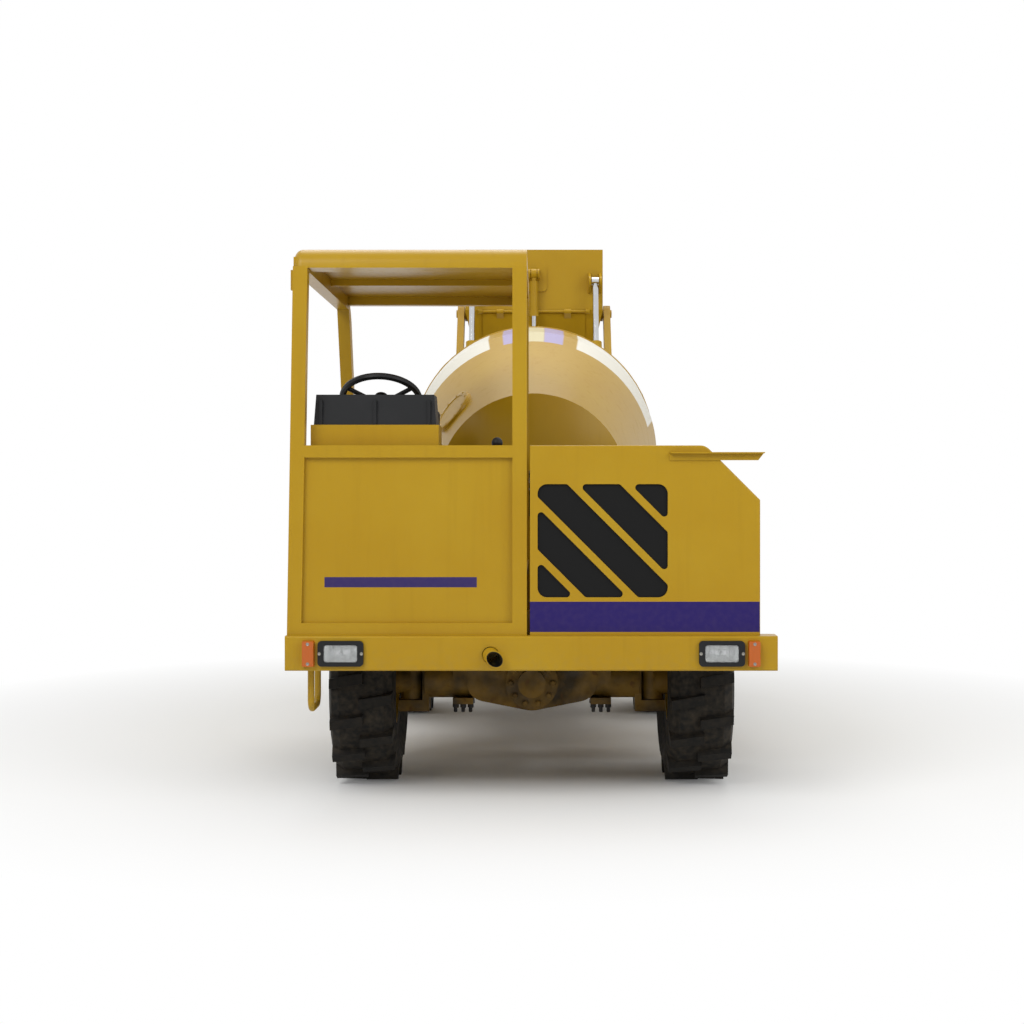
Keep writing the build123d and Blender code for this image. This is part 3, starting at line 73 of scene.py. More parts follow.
# colour and node helpers
def fromHex(code):
    parts = [int(code[i : i + 2], 16) / 255 for i in (1, 3, 5)]
    return tuple(c / 12.92 if c <= 0.04045 else ((c + 0.055) / 1.055) ** 2.4 for c in parts) + (1.0,)


def perMetre(millimetres):
    return 1000.0 / millimetres


def plugIn(tree, node, links):
    # a socket, a node's first open output, or a constant on the socket itself
    for name, value in links.items():
        if isinstance(value, bpy.types.Node):
            value = next(output for output in value.outputs if output.enabled)
        if isinstance(value, bpy.types.NodeSocket):
            tree.links.new(value, node.inputs[name])
        else:
            node.inputs[name].default_value = value


def addNode(tree, kind, links, **settings):
    node = tree.nodes.new("ShaderNode" + kind)
    for name, value in settings.items():
        setattr(node, name, value)
    plugIn(tree, node, links)
    return node


def newMaterial(name, constants):
    material = bpy.data.materials.new(name)
    material.use_nodes = True
    tree = material.node_tree
    shader = tree.nodes["Principled BSDF"]
    plugIn(tree, shader, constants)
    coords = addNode(tree, "TexCoord", {}).outputs["Object"]
    return material, tree, shader, coords


def paintBand(tree, value, low, high, soft):
    # 1 between low and high, with masked edges as wide as soft
    rising = addNode(tree, "MapRange", {"Value": value, "From Min": low - soft, "From Max": low + soft})
    falling = addNode(
        tree,
        "MapRange",
        {"Value": value, "From Min": high - soft, "From Max": high + soft, "To Min": 1.0, "To Max": 0.0},
    )
    return addNode(tree, "Math", {0: rising, 1: falling}, operation="MULTIPLY")


# mustard enamel on steel plate: clean sprayed gloss with a slight orange peel, a little sun fading,
# faint rain streaks, and road dust that gathers below the deck
enamelSettings = {
    "colour": "#AE8817",
    "faded": "#B4911F",
    "streak": "#957215",
    "dust": "#8F7C4C",
    "chip": "#5A4526",
    "fadePatch": 420.0,  # mm
    "streakWidth": 38.0,
    "dustSpeck": 26.0,
    "chipSize": 20.0,
    "orangePeel": 6.0,  # mm, drawn coarser than the real 2 mm so that it shows
    "roughness": 0.30,
}


def makeEnamel(name, settings, decorate=None):
    material, tree, shader, coords = newMaterial(name, {"Specular IOR Level": 0.22})
    height = addNode(tree, "SeparateXYZ", {"Vector": coords}).outputs["Z"]
    patch = addNode(tree, "TexNoise", {"Vector": coords, "Scale": perMetre(settings["fadePatch"]), "Detail": 3.0})
    fade = addNode(tree, "MapRange", {"Value": patch, "From Min": 0.4, "From Max": 0.75, "To Max": 0.7})
    colour = addNode(
        tree, "Mix", {0: fade, 6: fromHex(settings["colour"]), 7: fromHex(settings["faded"])}, data_type="RGBA"
    )
    # streaks are noise drawn out down the plate
    drawn = addNode(tree, "Mapping", {"Vector": coords, "Scale": (1.0, 1.0, 0.06)})
    runs = addNode(tree, "TexNoise", {"Vector": drawn, "Scale": perMetre(settings["streakWidth"]), "Detail": 4.0})
    streaks = addNode(tree, "MapRange", {"Value": runs, "From Min": 0.55, "From Max": 0.8, "To Max": 0.22})
    colour = addNode(tree, "Mix", {0: streaks, 6: colour, 7: fromHex(settings["streak"])}, data_type="RGBA")
    if decorate:
        colour = decorate(tree, coords, colour)
    # dust and stone chips thin out above the deck
    speck = addNode(tree, "TexNoise", {"Vector": coords, "Scale": perMetre(settings["dustSpeck"]), "Detail": 5.0})
    low = addNode(
        tree, "MapRange", {"Value": height, "From Min": 0.25, "From Max": 0.76, "To Min": 0.8, "To Max": 0.04}
    )
    settled = addNode(tree, "MapRange", {"Value": speck, "From Min": 0.4, "From Max": 0.8})
    dust = addNode(tree, "Math", {0: low, 1: settled}, operation="MULTIPLY")
    colour = addNode(tree, "Mix", {0: dust, 6: colour, 7: fromHex(settings["dust"])}, data_type="RGBA")
    stones = addNode(tree, "TexVoronoi", {"Vector": coords, "Scale": perMetre(settings["chipSize"])})
    hits = addNode(
        tree, "MapRange", {"Value": stones, "From Min": 0.05, "From Max": 0.08, "To Min": 1.0, "To Max": 0.0}
    )
    chips = addNode(tree, "Math", {0: hits, 1: dust}, operation="MULTIPLY")
    colour = addNode(tree, "Mix", {0: chips, 6: colour, 7: fromHex(settings["chip"])}, data_type="RGBA")
    dull = addNode(tree, "Math", {0: dust, 1: streaks}, operation="ADD")
    rough = addNode(tree, "MapRange", {"Value": dull, "To Min": settings["roughness"], "To Max": 0.7})
    peel = addNode(tree, "TexNoise", {"Vector": coords, "Scale": perMetre(settings["orangePeel"]), "Detail": 1.0})
    bump = addNode(tree, "Bump", {"Height": peel, "Strength": 0.03, "Distance": 0.002})
    plugIn(tree, shader, {"Base Color": colour, "Roughness": rough, "Normal": bump})
    return material


# navy band along the foot of the hood's face, with clean masked edges
hoodStripe = {"colour": "#24165F", "lowZ": 0.800, "highZ": 0.936, "edge": 0.0006, "depth": 0.002}


def paintHoodStripe(tree, coords, colour):
    parts = addNode(tree, "SeparateXYZ", {"Vector": coords})
    onFace = addNode(
        tree, "Math", {0: parts.outputs["Y"], 1: place["panelY"] + hoodStripe["depth"]}, operation="LESS_THAN"
    )
    across = paintBand(tree, parts.outputs["Z"], hoodStripe["lowZ"], hoodStripe["highZ"], hoodStripe["edge"])
    mask = addNode(tree, "Math", {0: across, 1: onFace}, operation="MULTIPLY")
    return addNode(tree, "Mix", {0: mask, 6: colour, 7: fromHex(hoodStripe["colour"])}, data_type="RGBA")


# thin navy line across the driver's back panel
panelLine = {"colour": "#33285F", "lowZ": 0.999, "highZ": 1.045, "fromX": -0.93, "toX": -0.245, "edge": 0.0006}


def paintPanelLine(tree, coords, colour):
    parts = addNode(tree, "SeparateXYZ", {"Vector": coords})
    across = paintBand(tree, parts.outputs["X"], panelLine["fromX"], panelLine["toX"], panelLine["edge"])
    upright = paintBand(tree, parts.outputs["Z"], panelLine["lowZ"], panelLine["highZ"], panelLine["edge"])
    mask = addNode(tree, "Math", {0: across, 1: upright}, operation="MULTIPLY")
    return addNode(tree, "Mix", {0: mask, 6: colour, 7: fromHex(panelLine["colour"])}, data_type="RGBA")


# marks round the drum's belly: plain cream and lilac blocks at its top, white bars further out,
# and dried cement round the mouth
drumBand = {
    "white": "#E4E0D2",
    "lilac": "#A79CC0",
    "cement": "#8E8A80",
    "cream": "#CFC49A",
    "from": 0.880,  # metres along the axis from the head
    "to": 1.350,
    "middle": (-0.01, 0.0145),  # turns from the top, both sides
    "blocks": (0.0145, 0.0395),
    "bars": ((0.0585, 0.205), (0.29, 0.40)),
    "edge": 0.0010,
    "ringEdge": 0.0015,
    "cementFrom": 1.9,
    "cementFull": 2.4,
    "cementLump": 55.0,
}


def paintDrumBand(tree, coords, colour):
    fromHead = addNode(tree, "VectorMath", {0: coords, 1: place["drumHead"]}, operation="SUBTRACT")
    along = addNode(tree, "VectorMath", {0: fromHead, 1: drumAxis}, operation="DOT_PRODUCT")
    up = addNode(tree, "VectorMath", {0: fromHead, 1: drumUp}, operation="DOT_PRODUCT")
    side = addNode(tree, "SeparateXYZ", {"Vector": fromHead}).outputs["X"]
    aside = addNode(tree, "Math", {0: side}, operation="ABSOLUTE")
    angle = addNode(tree, "Math", {0: aside, 1: up}, operation="ARCTAN2")
    turn = addNode(tree, "Math", {0: angle, 1: 2 * math.pi}, operation="DIVIDE")
    ring = paintBand(tree, along, drumBand["from"], drumBand["to"], drumBand["ringEdge"])
    marks = [(drumBand["middle"], drumBand["cream"]), (drumBand["blocks"], drumBand["lilac"])]
    marks += [(bar, drumBand["white"]) for bar in drumBand["bars"]]
    for (start, end), paint in marks:
        stretch = paintBand(tree, turn, start, end, drumBand["edge"])
        mask = addNode(tree, "Math", {0: ring, 1: stretch}, operation="MULTIPLY")
        colour = addNode(tree, "Mix", {0: mask, 6: colour, 7: fromHex(paint)}, data_type="RGBA")
    lumps = addNode(tree, "TexNoise", {"Vector": coords, "Scale": perMetre(drumBand["cementLump"]), "Detail": 6.0})
    reach = addNode(
        tree,
        "MapRange",
        {
            "Value": along,
            "From Min": drumBand["cementFrom"],
            "From Max": drumBand["cementFull"],
            "To Max": 0.55,
        },
    )
    wet = addNode(tree, "Math", {0: lumps, 1: reach}, operation="ADD")
    caked = addNode(tree, "MapRange", {"Value": wet, "From Min": 0.78, "From Max": 0.9})
    return addNode(tree, "Mix", {0: caked, 6: colour, 7: fromHex(drumBand["cement"])}, data_type="RGBA")


# the shovel and chutes: enamel scoured to steel and greyed by dried concrete where the load slides
loadWear = {"steel": "#6F6A62", "cement": "#98938A", "scourLength": 90.0, "spatter": 24.0}


def paintLoadWear(tree, coords, colour):
    scour = addNode(tree, "TexNoise", {"Vector": coords, "Scale": perMetre(loadWear["scourLength"]), "Detail": 7.0})
    inward = addNode(tree, "MapRange", {"Value": scour, "From Min": 0.56, "From Max": 0.66, "To Max": 0.8})
    forward = addNode(tree, "SeparateXYZ", {"Vector": coords}).outputs["Y"]
    lip = addNode(tree, "MapRange", {"Value": forward, "From Min": 2.2, "From Max": 2.75})
    bare = addNode(tree, "Math", {0: inward, 1: lip}, operation="MULTIPLY")
    colour = addNode(tree, "Mix", {0: bare, 6: colour, 7: fromHex(loadWear["steel"])}, data_type="RGBA")
    drops = addNode(tree, "TexNoise", {"Vector": coords, "Scale": perMetre(loadWear["spatter"]), "Detail": 6.0})
    spots = addNode(tree, "MapRange", {"Value": drops, "From Min": 0.66, "From Max": 0.7, "To Max": 0.7})
    splashed = addNode(tree, "Math", {0: spots, 1: lip}, operation="MULTIPLY")
    return addNode(tree, "Mix", {0: splashed, 6: colour, 7: fromHex(loadWear["cement"])}, data_type="RGBA")


# painted shade and soot inside the tailpipe's mouth: the bore is painted near black
tailpipe = {"mouth": (-0.162, -2.8075, 0.6853), "way": (0.431, -0.844, -0.319), "bore": 0.0322, "sootAndShade": "#0C0B0A"}


def paintSootAndShade(tree, coords, colour):
    offset = addNode(tree, "VectorMath", {0: coords, 1: tailpipe["mouth"]}, operation="SUBTRACT")
    swept = addNode(tree, "VectorMath", {0: offset, 1: tailpipe["way"]}, operation="CROSS_PRODUCT")
    inward = addNode(tree, "VectorMath", {0: swept}, operation="LENGTH")
    black = addNode(
        tree,
        "MapRange",
        {
            "Value": inward,
            "From Min": tailpipe["bore"],
            "From Max": tailpipe["bore"] + 0.001,
            "To Min": 1.0,
            "To Max": 0.0,
        },
    )
    # near black in the bore: painted shade, with soot
    return addNode(tree, "Mix", {0: black, 6: colour, 7: fromHex(tailpipe["sootAndShade"])}, data_type="RGBA")


yellowEnamel = makeEnamel("mustardEnamelSteel", enamelSettings)
tailpipeEnamel = makeEnamel("mustardEnamelTailpipe", enamelSettings, paintSootAndShade)
hoodEnamel = makeEnamel("mustardEnamelHood", enamelSettings, paintHoodStripe)
panelEnamel = makeEnamel("mustardEnamelBackPanel", enamelSettings, paintPanelLine)
drumEnamel = makeEnamel("mustardEnamelDrum", enamelSettings, paintDrumBand)
loadEnamel = makeEnamel("mustardEnamelLoadWorn", enamelSettings, paintLoadWear)


# chequer plate under the same enamel: raised lozenges underfoot, rubbed pale on their crowns
chequerSettings = {"colour": "#A3821D", "crown": "#8C8468", "dirt": "#5B4A26", "lozenge": 32.0, "dirtPatch": 160.0}


def makeChequer(name, settings):
    material, tree, shader, coords = newMaterial(name, {"Roughness": 0.5})
    rows = []
    for turned in (math.radians(45), math.radians(-45)):
        laid = addNode(tree, "Mapping", {"Vector": coords, "Rotation": (0.0, 0.0, turned)})
        waves = {"Vector": laid, "Scale": perMetre(settings["lozenge"]) / waveStep}
        rows.append(addNode(tree, "TexWave", waves).outputs["Fac"])
    crossed = addNode(tree, "Math", {0: rows[0], 1: rows[1]}, operation="MULTIPLY")
    raised = addNode(tree, "MapRange", {"Value": crossed, "From Min": 0.5, "From Max": 0.7})
    grime = addNode(tree, "TexNoise", {"Vector": coords, "Scale": perMetre(settings["dirtPatch"]), "Detail": 5.0})
    dirty = addNode(tree, "MapRange", {"Value": grime, "From Min": 0.4, "From Max": 0.75, "To Max": 0.7})
    colour = addNode(
        tree, "Mix", {0: dirty, 6: fromHex(settings["colour"]), 7: fromHex(settings["dirt"])}, data_type="RGBA"
    )
    rubbed = addNode(tree, "Math", {0: raised, 1: dirty}, operation="MULTIPLY")
    colour = addNode(tree, "Mix", {0: rubbed, 6: colour, 7: fromHex(settings["crown"])}, data_type="RGBA")
    bump = addNode(tree, "Bump", {"Height": raised, "Strength": 0.5, "Distance": 0.002})
    plugIn(tree, shader, {"Base Color": colour, "Normal": bump})
    return material


chequerPlate = makeChequer("enamelledChequerPlate", chequerSettings)


# cast iron: sand-cast grain under one coat of paint, with brown rust in the chips; the axles' yellow is painted
# darker than the enamel and their oil-dark grime is deepened, as painted shade under the machine
# axles: both colours are darkened as painted shade, on top of the oily grime
axleShadeAndGrimeSettings = {
    "colour": "#755818", "grime": "#33270F", "rust": "#57391C", "grimePatch": 120.0, "chip": 45.0, "grit": 4.0
}
castingSettings = {
    "colour": "#2A2826", "grime": "#191817", "rust": "#46362A", "grimePatch": 150.0, "chip": 45.0, "grit": 4.0
}


def makeCasting(name, settings):
    material, tree, shader, coords = newMaterial(name, {"Specular IOR Level": 0.3})
    oily = addNode(tree, "TexNoise", {"Vector": coords, "Scale": perMetre(settings["grimePatch"]), "Detail": 5.0})
    grime = addNode(tree, "MapRange", {"Value": oily, "From Min": 0.35, "From Max": 0.68})
    colour = addNode(
        tree, "Mix", {0: grime, 6: fromHex(settings["colour"]), 7: fromHex(settings["grime"])}, data_type="RGBA"
    )
    chips = addNode(tree, "TexNoise", {"Vector": coords, "Scale": perMetre(settings["chip"]), "Detail": 6.0})
    rust = addNode(tree, "MapRange", {"Value": chips, "From Min": 0.62, "From Max": 0.7, "To Max": 0.7})
    colour = addNode(tree, "Mix", {0: rust, 6: colour, 7: fromHex(settings["rust"])}, data_type="RGBA")
    rough = addNode(
        tree, "MapRange", {"Value": chips, "From Min": 0.3, "From Max": 0.7, "To Min": 0.45, "To Max": 0.8}
    )
    grit = addNode(tree, "TexNoise", {"Vector": coords, "Scale": perMetre(settings["grit"]), "Detail": 3.0})
    bump = addNode(tree, "Bump", {"Height": grit, "Strength": 0.2, "Distance": 0.002})
    plugIn(tree, shader, {"Base Color": colour, "Roughness": rough, "Normal": bump})
    return material


casting = makeCasting("blackPaintedCasting", castingSettings)
shadedGrimyAxleCasting = makeCasting("oilyShadedYellowCasting", axleShadeAndGrimeSettings)


# vulcanised tread rubber: near black and matt, dust lodged between the lugs, moulded rings on the sidewalls
rubberSettings = {
    "colour": "#141311",
    "dust": "#3B342A",
    "speck": 30.0,
    "fine": 4.0,
    "ring": 14.0,
    "groove": (0.460, 0.482),  # radius in metres from the tread's floor to its worn lugs
    "wall": (0.40, 0.41),  # where the sidewall's rings stop
}


def makeRubber(name, settings):
    material, tree, shader, coords = newMaterial(name, {"Roughness": 0.75, "Specular IOR Level": 0.22})
    parts = addNode(tree, "SeparateXYZ", {"Vector": coords})
    reaches = []
    for middle in axleY:
        offset = addNode(tree, "Math", {0: parts.outputs["Y"], 1: middle}, operation="SUBTRACT")
        reaches.append(addNode(tree, "Math", {0: offset}, operation="ABSOLUTE"))
    nearest = addNode(tree, "Math", {0: reaches[0], 1: reaches[1]}, operation="MINIMUM")
    rise = addNode(tree, "Math", {0: parts.outputs["Z"], 1: place["axleZ"]}, operation="SUBTRACT")
    spoke = addNode(tree, "CombineXYZ", {"Y": nearest, "Z": rise})
    radius = addNode(tree, "VectorMath", {0: spoke}, operation="LENGTH")
    worn = addNode(tree, "TexNoise", {"Vector": coords, "Scale": perMetre(settings["speck"]), "Detail": 5.0})
    lodged = addNode(
        tree,
        "MapRange",
        {
            "Value": radius,
            "From Min": settings["groove"][0],
            "From Max": settings["groove"][1],
            "To Min": 0.9,
            "To Max": 0.35,
        },
    )
    patchy = addNode(tree, "MapRange", {"Value": worn, "From Min": 0.35, "From Max": 0.75})
    dust = addNode(tree, "Math", {0: lodged, 1: patchy}, operation="MULTIPLY")
    colour = addNode(
        tree, "Mix", {0: dust, 6: fromHex(settings["colour"]), 7: fromHex(settings["dust"])}, data_type="RGBA"
    )
    phase = addNode(tree, "Math", {0: radius, 1: 2 * math.pi * perMetre(settings["ring"])}, operation="MULTIPLY")
    rings = addNode(tree, "Math", {0: phase}, operation="SINE")
    wallFrom, wallTo = settings["wall"]
    wall = addNode(
        tree, "MapRange", {"Value": radius, "From Min": wallFrom, "From Max": wallTo, "To Min": 1.0, "To Max": 0.0}
    )
    moulded = addNode(tree, "Math", {0: rings, 1: wall}, operation="MULTIPLY")
    fine = addNode(tree, "TexNoise", {"Vector": coords, "Scale": perMetre(settings["fine"]), "Detail": 3.0})
    relief = addNode(tree, "Math", {0: moulded, 1: fine}, operation="ADD")
    bump = addNode(tree, "Bump", {"Height": relief, "Strength": 0.2, "Distance": 0.002})
    plugIn(tree, shader, {"Base Color": colour, "Normal": bump})
    return material


treadRubber = makeRubber("dustyTreadRubber", rubberSettings)


# moulded black ABS and coated seat vinyl: a fine leather-like grain, soft sheen, greyed where hands and boots rub
absSettings = {"colour": "#121315", "scuff": "#242426", "grain": 5.0, "rubPatch": 130.0, "roughness": 0.42}
vinylSettings = {"colour": "#1C1B1C", "scuff": "#343231", "grain": 4.0, "rubPatch": 130.0, "roughness": 0.5}


def makeGrained(name, settings):
    material, tree, shader, coords = newMaterial(name, {"Specular IOR Level": 0.28})
    rub = addNode(tree, "TexNoise", {"Vector": coords, "Scale": perMetre(settings["rubPatch"]), "Detail": 5.0})
    scuff = addNode(tree, "MapRange", {"Value": rub, "From Min": 0.5, "From Max": 0.8, "To Max": 0.7})
    colour = addNode(
        tree, "Mix", {0: scuff, 6: fromHex(settings["colour"]), 7: fromHex(settings["scuff"])}, data_type="RGBA"
    )
    rough = addNode(
        tree,
        "MapRange",
        {
            "Value": rub,
            "From Min": 0.35,
            "From Max": 0.7,
            "To Min": settings["roughness"],
            "To Max": settings["roughness"] + 0.2,
        },
    )
    cells = addNode(
        tree, "TexVoronoi", {"Vector": coords, "Scale": perMetre(settings["grain"])}, feature="DISTANCE_TO_EDGE"
    )
    bump = addNode(tree, "Bump", {"Height": cells, "Strength": 0.15, "Distance": 0.001})
    plugIn(tree, shader, {"Base Color": colour, "Roughness": rough, "Normal": bump})
    return material


grainedAbs = makeGrained("grainedBlackAbs", absSettings)
seatVinyl = makeGrained("blackSeatVinyl", vinylSettings)


# black perforated sheet behind the grille's slots: rows of punched holes, drawn at twice their pitch
# so that they show, the holes painted darker than the sheet as painted shade inside them
screenSettings = {"sheet": "#121212", "hole": "#030303", "pitch": 12.0}


def makeScreen(name, settings):
    material, tree, shader, coords = newMaterial(name, {"Roughness": 0.6, "Specular IOR Level": 0.15})
    dots = addNode(tree, "TexVoronoi", {"Vector": coords, "Scale": perMetre(settings["pitch"]), "Randomness": 0.0})
    punched = addNode(tree, "MapRange", {"Value": dots, "From Min": 0.3, "From Max": 0.38})
    # the holes are painted near black as painted shade
    colour = addNode(
        tree, "Mix", {0: punched, 6: fromHex(settings["hole"]), 7: fromHex(settings["sheet"])}, data_type="RGBA"
    )
    bump = addNode(tree, "Bump", {"Height": punched, "Strength": 0.4, "Distance": 0.002})
    plugIn(tree, shader, {"Base Color": colour, "Normal": bump})
    return material


screenSheet = makeScreen("blackPerforatedSheet", screenSettings)


# bright metals: ground hard chrome on the rods, dull zinc on bolts, and vapour-plated lamp bowls
metalSettings = {  # colour, size of the wipe marks in mm, roughness where smooth and where worn
    "hardChromeRod": ("#C4C5C6", 40.0, 0.06, 0.22),
    "zincPlatedBolt": ("#8D8B84", 8.0, 0.35, 0.6),
    "vapourPlatedBowl": ("#D9DADA", 25.0, 0.06, 0.14),
}


def makeMetal(name):
    hexColour, mark, smooth, worn = metalSettings[name]
    material, tree, shader, coords = newMaterial(name, {"Metallic": 1.0, "Base Color": fromHex(hexColour)})
    wipe = addNode(tree, "TexNoise", {"Vector": coords, "Scale": perMetre(mark), "Detail": 4.0})
    rough = addNode(
        tree, "MapRange", {"Value": wipe, "From Min": 0.3, "From Max": 0.7, "To Min": smooth, "To Max": worn}
    )
    plugIn(tree, shader, {"Roughness": rough})
    return material


hardChrome, zincBolt, platedBowl = (makeMetal(name) for name in metalSettings)


# moulded lamp lenses: clear polycarbonate with upright flutes, and amber acrylic with fine prisms
lensSettings = {  # colour, refraction, flute in mm, how much light goes through
    "clearFlutedPolycarbonate": ("#F2F4F4", 1.585, 14.0, 0.85),
    "amberPrismaticAcrylic": ("#D26606", 1.49, 9.0, 0.25),
}


def makeLens(name):
    hexColour, ior, flute, clear = lensSettings[name]
    constants = {"Roughness": 0.08, "IOR": ior, "Transmission Weight": clear, "Base Color": fromHex(hexColour)}
    material, tree, shader, coords = newMaterial(name, constants)
    flutes = addNode(tree, "TexWave", {"Vector": coords, "Scale": perMetre(flute) / waveStep}, bands_direction="X")
    bump = addNode(tree, "Bump", {"Height": flutes.outputs["Fac"], "Strength": 0.4, "Distance": 0.003})
    plugIn(tree, shader, {"Normal": bump})
    return material


clearLens, amberLens = (makeLens(name) for name in lensSettings)

finishes = {
    "hood_panels": hoodEnamel,
    "back_panel": panelEnamel,
    "drum_shell": drumEnamel,
    "stand_floor": chequerPlate,
    "radiator_screen": screenSheet,
    "headlamp_lenses": clearLens,
    "turn_lamps": amberLens,
    "exhaust_pipe": tailpipeEnamel,
    **dict.fromkeys(("shovel", "shovel_hatch", "feed_hopper", "discharge_chute"), loadEnamel),
    **dict.fromkeys(("headlamp_bezels", "console_cowl", "steering_wheel"), grainedAbs),
    **dict.fromkeys(("steering_column", "seat_base", "engine_block", "drum_drive", "drum_rollers"), casting),
    **dict.fromkeys(("drive_line", "hood_axle", "loader_axle"), shadedGrimyAxleCasting),
    **dict.fromkeys(("lift_rods", "tilt_rods", "hatch_rod"), hardChrome),
}
endings = {"tyre": treadRubber, "knuckle": shadedGrimyAxleCasting}
for name, node in nodes.items():
    finish = finishes.get(name) or endings.get(name.split("_")[-1], yellowEnamel)
    node.data.materials.clear()
    node.data.materials.append(finish)
print("finishes set on", len(nodes), "nodes")


# modelling helpers
def clearChoice():
    if bpy.context.object and bpy.context.object.mode != "OBJECT":
        bpy.ops.object.mode_set(mode="OBJECT")
    bpy.ops.object.select_all(action="DESELECT")


def startPiece(primitive, **settings):
    clearChoice()
    primitive(**settings)
    return bpy.context.object


def startCylinder(sides, radius, height, foot):
    middle = (0, 0, foot + height / 2)
    return startPiece(
        bpy.ops.mesh.primitive_cylinder_add, vertices=sides, radius=radius, depth=height, location=middle
    )


def startBox(size, middle):
    box = startPiece(bpy.ops.mesh.primitive_cube_add, size=1.0, location=middle)
    box.scale = size
    bpy.ops.object.transform_apply(location=False, rotation=False, scale=True)
    return box


def beginChoice(kind):
    bpy.ops.object.mode_set(mode="EDIT")
    bpy.ops.mesh.select_mode(type=kind)
    bpy.ops.mesh.select_all(action="DESELECT")
    bpy.ops.object.mode_set(mode="OBJECT")


def chooseFaces(piece, wanted):
    # leaves edit mode on, with only the wanted faces selected
    beginChoice("FACE")
    for face in piece.data.polygons:
        face.select = wanted(face.center, face.normal)
    bpy.ops.object.mode_set(mode="EDIT")


def chooseEdges(piece, wanted):
    beginChoice("EDGE")
    for edge in piece.data.edges:
        edge.select = wanted(*(piece.data.vertices[i].co for i in edge.vertices))
    bpy.ops.object.mode_set(mode="EDIT")


def facingUp(centre, normal):
    return normal.z > 0.9


def levelTop(centre, normal):
    return normal.z > 0.95


def drawOut(step, share):
    # extrudes the chosen faces by a step and narrows or widens their end
    bpy.ops.mesh.extrude_region_move(TRANSFORM_OT_translate={"value": step})
    bpy.ops.transform.resize(value=share)


def joinPieces(pieces):
    clearChoice()
    for piece in pieces:
        piece.select_set(True)
    bpy.context.view_layer.objects.active = pieces[0]
    bpy.ops.object.join()
    return pieces[0]


def applyModifier(piece, kind, **settings):
    modifier = piece.modifiers.new(kind.lower(), kind)
    for key, value in settings.items():
        setattr(modifier, key, value)
    bpy.context.view_layer.objects.active = piece
    bpy.ops.object.modifier_apply(modifier=modifier.name)


def finishPiece(piece, name, body, material, angle=35.0):
    clearChoice()
    piece.select_set(True)
    bpy.context.view_layer.objects.active = piece
    bpy.ops.object.transform_apply(location=True, rotation=True, scale=True)
    bpy.ops.object.shade_smooth_by_angle(angle=math.radians(angle))
    piece.name = name
    piece.data.name = name
    piece.data.materials.clear()
    piece.data.materials.append(material)
    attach(piece, body)
    return piece


def standAt(spot, facing):
    # a place whose Z points the way that the piece faces
    return Matrix.Translation(spot) @ Vector(facing).to_track_quat("Z", "Y").to_matrix().to_4x4()


def setOut(model, name, stands, body, material):
    # one copy of the model at each stand, joined to one piece
    copies = []
    for stand in stands:
        copy = model.copy()
        copy.data = model.data.copy()
        bpy.context.scene.collection.objects.link(copy)
        copy.matrix_world = stand
        copies.append(copy)
    return finishPiece(joinPieces(copies), name, body, material)


# hexagon bolt on a round washer, its head chamfered
boltSettings = {
    "across": 0.0140,
    "height": 0.012,
    "chamfer": 0.0025,
    "washer": 0.0175,
    "washerHeight": 0.003,
    "washerEdge": 0.002,
    "washerCrown": 0.0006,
}


def modelBolt():
    head = startCylinder(6, boltSettings["across"], boltSettings["height"], boltSettings["washerHeight"])
    chooseFaces(head, facingUp)
    bpy.ops.mesh.bevel(offset=boltSettings["chamfer"], segments=1)
    washer = startCylinder(14, boltSettings["washer"], boltSettings["washerHeight"], 0.0)
    chooseFaces(washer, facingUp)
    bpy.ops.mesh.inset(thickness=boltSettings["washerEdge"], depth=boltSettings["washerCrown"])
    bolt = joinPieces([head, washer])
    bpy.ops.object.transform_apply(location=True, rotation=True, scale=True)
    return bolt


# wheel nut with the stud standing through it, also hung under the axle clamps
studSettings = {
    "nut": 0.0165,
    "nutHeight": 0.018,
    "chamfer": 0.0025,
    "stud": 0.0095,
    "standOut": 0.020,
    "tip": 0.003,
    "taper": 0.75,
}


def modelStud():
    nut = startCylinder(6, studSettings["nut"], studSettings["nutHeight"], 0.0)
    chooseFaces(nut, facingUp)
    bpy.ops.mesh.bevel(offset=studSettings["chamfer"], segments=1)
    shank = startCylinder(10, studSettings["stud"], studSettings["standOut"], studSettings["nutHeight"])
    chooseFaces(shank, facingUp)
    drawOut((0, 0, studSettings["tip"]), (studSettings["taper"], studSettings["taper"], 1.0))
    stud = joinPieces([nut, shank])
    bpy.ops.object.transform_apply(location=True, rotation=True, scale=True)
    return stud


# pan-head screw with a recessed top, sunk to half its height, for lamps and trim
screwSettings = {"radius": 0.0075, "height": 0.004, "edge": 0.0016, "rim": 0.0022, "recess": 0.0014}


def modelScrew():
    screw = startCylinder(16, screwSettings["radius"], screwSettings["height"], -screwSettings["height"] / 2)
    chooseFaces(screw, facingUp)
    bpy.ops.mesh.bevel(offset=screwSettings["edge"], segments=2)
    chooseFaces(screw, levelTop)
    bpy.ops.mesh.inset(thickness=screwSettings["rim"], depth=-screwSettings["recess"])
    clearChoice()
    return screw


bolt, stud, screw = modelBolt(), modelStud(), modelScrew()

